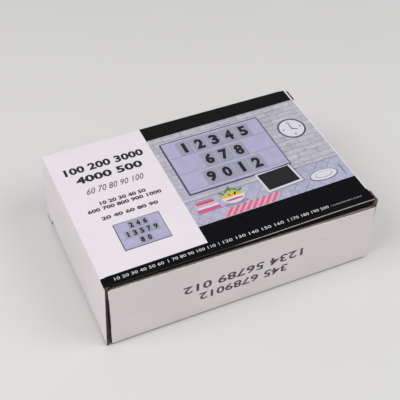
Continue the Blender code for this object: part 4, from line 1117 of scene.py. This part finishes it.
def drawPicture():
    # A kitchen corner in such a print's colours: the lamp on a painted wall, and things on a tiled counter
    drawLightPanel(91.0, 24.0, 89.0, 63.0, ("12345", "678", "9012"))
    drawLightPanel(25.6, 92.2, 36.8, 27.4, ("246", "13579", "80"))
    # a wall clock
    clockAcross, clockDown = 201, 49
    for key, level, radius in (("outline", 1, 12.2), ("white", 2, 10.6)):
        addPlate(key, level, ellipse(clockAcross, clockDown, radius, radius, 36))
    for digits, across, down in (("12", 0, -7.4), ("3", 7.6, 0), ("6", 0, 7.4), ("9", -7.6, 0)):
        wide = 1.3 * len(digits)
        left = clockAcross + across - wide / 2
        addDigits("glyph", digits, left, clockDown + down - 1.2, wide, 2.4, 3, 0.02)
    addPlate("glyph", 3, [(200.6, 49.6), (200.7, 43.4), (201.3, 43.4), (201.5, 49.6)])
    addPlate("glyph", 3, [(200.6, 48.6), (205.6, 51.4), (205.2, 52.1), (200.4, 49.5)])
    # the counter's back edge
    addPlate("shade", 1, rectangle(83.6, 93.2, 219.9, 94.1))
    # a slate board in a pale frame
    slate = [(146.5, 86.5), (177.5, 85.6), (179.8, 107.4), (148.4, 109.0)]
    addPlate("shade", 1, [(x + 1.6, y + 1.2) for x, y in slate])
    addPlate("white", 2, slate)
    addPlate("screenBlack", 3, [(148.2, 88.4), (176.0, 87.5), (177.8, 105.6), (149.8, 107.0)])
    # a bowl of lemons with leaves
    addPlate("shade", 1, ellipse(121, 108.4, 10.5, 2.0))
    for lemon in ((116.2, 99.2, 0.3), (121.6, 97.8, -0.4), (126.0, 99.6, 0.2)):
        addPlate("yellow", 2, ellipse(lemon[0], lemon[1], 3.5, 2.7, 20, lemon[2]))
    for leaf in ((113.4, 95.4, 0.9), (118.4, 93.8, -0.7), (124.6, 94.2, 0.6), (128.8, 96.4, -0.5),
                 (121.2, 92.6, 1.5)):
        addPlate("green", 3, ellipse(leaf[0], leaf[1], 3.0, 1.1, 14, leaf[2]))
    addPlate("white", 4, ellipse(121, 101.0, 9.4, 7.2, 24, 0.0, math.pi))
    addPlate("pink", 5, ellipse(121, 104.2, 7.9, 1.1, 20))
    # a stack of books
    for key, left, back, width, thick in (
        ("pink", 89.0, 104.6, 19.0, 3.4), ("white", 90.2, 102.6, 17.4, 2.0),
        ("palePink", 88.4, 98.9, 18.6, 3.4), ("stripe", 91.0, 96.2, 14.5, 3.4),
    ):
        addPlate(key, 2, rectangle(left, back, left + width, back + thick))
    addPlate("shade", 1, rectangle(88.6, 108.0, 109.4, 108.9))
    # a striped napkin
    napkin = [(112.5, 111.2), (157.0, 110.4), (149.0, 119.0), (104.5, 119.2)]
    addPlate("palePink", 2, napkin)
    backLeft, backRight, frontRight, frontLeft = (Vector(corner) for corner in napkin)
    stripes = 8
    for k in range(stripes):
        start = (k + 0.3) / stripes
        end = start + 0.55 / stripes
        addPlate("stripe", 3, [
            backLeft.lerp(backRight, start), backLeft.lerp(backRight, end),
            frontLeft.lerp(frontRight, end), frontLeft.lerp(frontRight, start),
        ])
    # a plate and a fork
    for key, level, down, wide, tall, count in (
        ("outline", 1, 108.6, 12.4, 6.0, 36), ("white", 2, 108.4, 11.6, 5.4, 36),
        ("shade", 3, 108.4, 7.6, 3.3, 30), ("white", 4, 108.2, 7.0, 2.9, 30),
    ):
        addPlate(key, level, ellipse(197.5, down, wide, tall, count))
    addPlate("outline", 2, [(214.0, 103.0), (214.8, 103.0), (214.6, 114.6), (214.0, 114.6)])


drawWords()
drawPicture()
for key, shapes in inkShapes.items():
    attach(joinShapes(f"print_{inks[key].name}", shapes, [inks[key]]), "carton")
print("print drawn")


# What is packed inside: CAD pieces with their real finishes, and the soft foam sheet

def makeMoulded(name, light, dark, roughness, grain, depth, **sockets):
    # A moulded or rolled surface: an even colour with faint flow clouds, and its fine grain as bump
    material, place = startMaterial(name, light, roughness, **sockets)
    tone = blendInks(spread(mottle(place, 18 * mm, 3.0), 0.3, 0.7, 0.0, 0.6), light, dark)
    tone = blendInks(spread(mottle(place, grain * 3, 3.0), 0.45, 0.75, 0.0, 0.35), tone, dark)
    return endMaterial(material, tone, mottle(place, grain, 2.0), depth)


def makeLayered(name, light, dark, layer):
    # A stack of thin cards, seen from the side as fine lines, twice as coarse as real so that they show.
    # At a scale of 0.314 the wave texture repeats once in a unit
    material, place = startMaterial(name, light, 0.3)
    lines = {"Vector": place, "Scale": 0.314 / layer, "Distortion": 0.4, "Detail": 2.0}
    lines = addNode(place.id_data, "ShaderNodeTexWave", lines, bands_direction="Z")["Fac"]
    return endMaterial(material, blendInks(spread(lines, 0.2, 0.6), dark, light), lines, 0.05 * mm)


def makeRolled(name, light, dark, roughness, metallic, stretch, grain):
    # Rolled or drawn stock: fine streaks along its length
    material, place = startMaterial(name, light, roughness, metallic)
    streaks = mottle(place, grain, 3.0, stretch)
    tone = blendInks(spread(streaks, 0.3, 0.7, 0.0, 0.7), light, dark)
    return endMaterial(material, tone, streaks, 0.01 * mm, 0.4)


slotFinishes = {
    "paper": makePaper("uncoated_book_paper", "#DAD6CC", "#C9C3B6", 0.85),
    "card_plastic": makeLayered("printed_polyester_cards", "#B9B5C9", "#6E6B80", 0.6 * mm),
    "white_plastic": makeMoulded("moulded_white_abs", "#E3E1DA", "#D9D6CE", 0.42, 0.5 * mm, 0.02 * mm),
    "opal_acrylic": makeMoulded("cast_opal_acrylic", "#EFEEE8", "#E6E5DE", 0.22, 2 * mm, 0.005 * mm,
                                Subsurface_Weight=0.15),
    "white_card": makePaper("smooth_white_card", "#E8E7E1", "#DEDCD5", 0.7),
    "clear_acrylic": makeMoulded("extruded_clear_acrylic", "#DCE6E8", "#CFDCE0", 0.08, 1.5 * mm, 0.004 * mm,
                                 Transmission_Weight=0.85, IOR=1.49),
    "plated_steel": makeRolled("nickel_plated_steel", "#B7B4AC", "#8E8B83", 0.28, 1.0, (1, 6, 1), 0.5 * mm),
    "circuit_board": makeMoulded("white_solder_mask", "#DAD8CC", "#CBC9BA", 0.3, 0.8 * mm, 0.01 * mm),
    "led_phosphor": makeMoulded("phosphor_silicone", "#DDB93A", "#C79C1E", 0.35, 0.4 * mm, 0.01 * mm),
    "black_plastic": makeMoulded("moulded_black_nylon", "#1D1D1E", "#28282A", 0.5, 0.5 * mm, 0.02 * mm),
    "red_vinyl": makeRolled("extruded_red_vinyl", "#A5231F", "#8A1916", 0.4, 0.0, (1, 6, 6), 0.6 * mm),
    "black_vinyl": makeRolled("extruded_black_vinyl", "#19191A", "#242426", 0.4, 0.0, (1, 6, 6), 0.6 * mm),
    "soft_rubber": makeMoulded("moulded_rubber", "#232324", "#2E2E2F", 0.85, 0.5 * mm, 0.03 * mm),
}
for node in frame["nodes"].values():
    for slot in node.material_slots:
        if slot.material and slot.material.name in slotFinishes:
            slot.material = slotFinishes[slot.material.name]

foamSpec = {
    "spacing": 1.8 * mm,
    "rim": 2.5 * mm,  # how far in from its edge the sheet is rounded
    "under": 0.02 * mm,  # clear of what it lies on
    "over": 0.1 * mm,
    "dimple": (14 * mm, 0.7 * mm),  # width and depth
}


def makeFoam():
    # Closed-cell foam laid over the lamp: a soft sheet with a rounded rim, faintly quilted by its own weight
    spec = foamSpec
    material, place = startMaterial("closed_cell_foam", "#E4E3DD", 0.9)
    cells = cellsOf(place, 1.1 * mm)
    endMaterial(material, blendInks(spread(cells, 0.1, 0.6), "#D3D1C9", "#E9E8E3"), cells, 0.15 * mm, 0.6)
    centre, reach = (foamLow + foamHigh) / 2, (foamHigh - foamLow) / 2
    tall = foamHigh.z - foamLow.z

    def settle(y, x, isUnder):
        inset = min(reach.x - abs(x - centre.x), reach.y - abs(y - centre.y))
        rise = math.sqrt(max(0.0, 1 - (1 - min(1.0, inset / spec["rim"])) ** 2))
        if isUnder:
            return Vector((x, y, foamLow.z + spec["under"] + tall * 0.3 * (1 - rise)))
        top = foamLow.z + tall * (0.35 + 0.65 * rise) - spec["over"]
        return Vector((x, y, top - abs(wander(x, y, 1.0, *spec["dimple"]))))

    down, across = (stations(foamLow[axis], foamHigh[axis], spec["spacing"]) for axis in (1, 0))
    piece = joinShapes("packing_foam", [thickSheet(down, across, settle, 0, 1)], [material], 80)
    attach(piece, "carton", "foam_sheet")


makeFoam()
print("packed contents finished")


# View, light and floor

stageSpec = {
    "floor": ("#DFDEDB", "#D9D8D5"),
    "floorReach": 6.0,
    "sky": ("#FBFBFF", 0.5),
    "lamps": ((-0.96, -0.10, 1.149, 9.1), (0.76, -0.594, 1.149, 7.3)),  # spot, and energy
    "lampSize": 1.0,
    "cameraSpot": (-0.2120, -0.4395, 0.5267),
    "cameraTurn": (-0.402, 0.788, -0.028),  # about Z, then X, then Y, in radians
    "lens": 77.26,
}


def makeStage():
    spec = stageSpec
    scene = bpy.context.scene
    scene.view_settings.view_transform = "Standard"
    floorMesh = bpy.data.meshes.new("floor")
    far = spec["floorReach"]
    corners = [(-far, -far, 0), (far, -far, 0), (far, far, 0), (-far, far, 0)]
    floorMesh.from_pydata(corners, [], [(0, 1, 2, 3)])
    floor = bpy.data.objects.new("floor", floorMesh)
    scene.collection.objects.link(floor)
    material, place = startMaterial("matt_backdrop_paper", spec["floor"][0], 0.9)
    floorMesh.materials.append(endMaterial(material, blendInks(mottle(place, 0.25, 2.0), *spec["floor"])))

    world = bpy.data.worlds.new("studio")
    world.use_nodes = True
    background = world.node_tree.nodes["Background"].inputs
    background["Color"].default_value = ink(spec["sky"][0])
    background["Strength"].default_value = spec["sky"][1]
    scene.world = world

    for *spot, energy in spec["lamps"]:
        light = bpy.data.lights.new("soft_box", "AREA")
        light.shape = "DISK"
        light.size = spec["lampSize"]
        light.energy = energy
        lamp = bpy.data.objects.new("soft_box", light)
        aimed = Vector(spot).to_track_quat("Z", "Y").to_matrix().to_4x4()
        lamp.matrix_world = Matrix.Translation(spot) @ aimed
        scene.collection.objects.link(lamp)

    camera = bpy.data.cameras.new("camera")
    camera.lens = spec["lens"]
    camera.sensor_width = 36
    camera.clip_start = 0.01
    turns = [Matrix.Rotation(angle, 4, axis) for angle, axis in zip(spec["cameraTurn"], "ZXY")]
    cameraObject = bpy.data.objects.new("camera", camera)
    cameraObject.matrix_world = Matrix.Translation(spec["cameraSpot"]) @ turns[0] @ turns[1] @ turns[2]
    scene.collection.objects.link(cameraObject)
    scene.camera = cameraObject


makeStage()
print("stage, light and camera set")
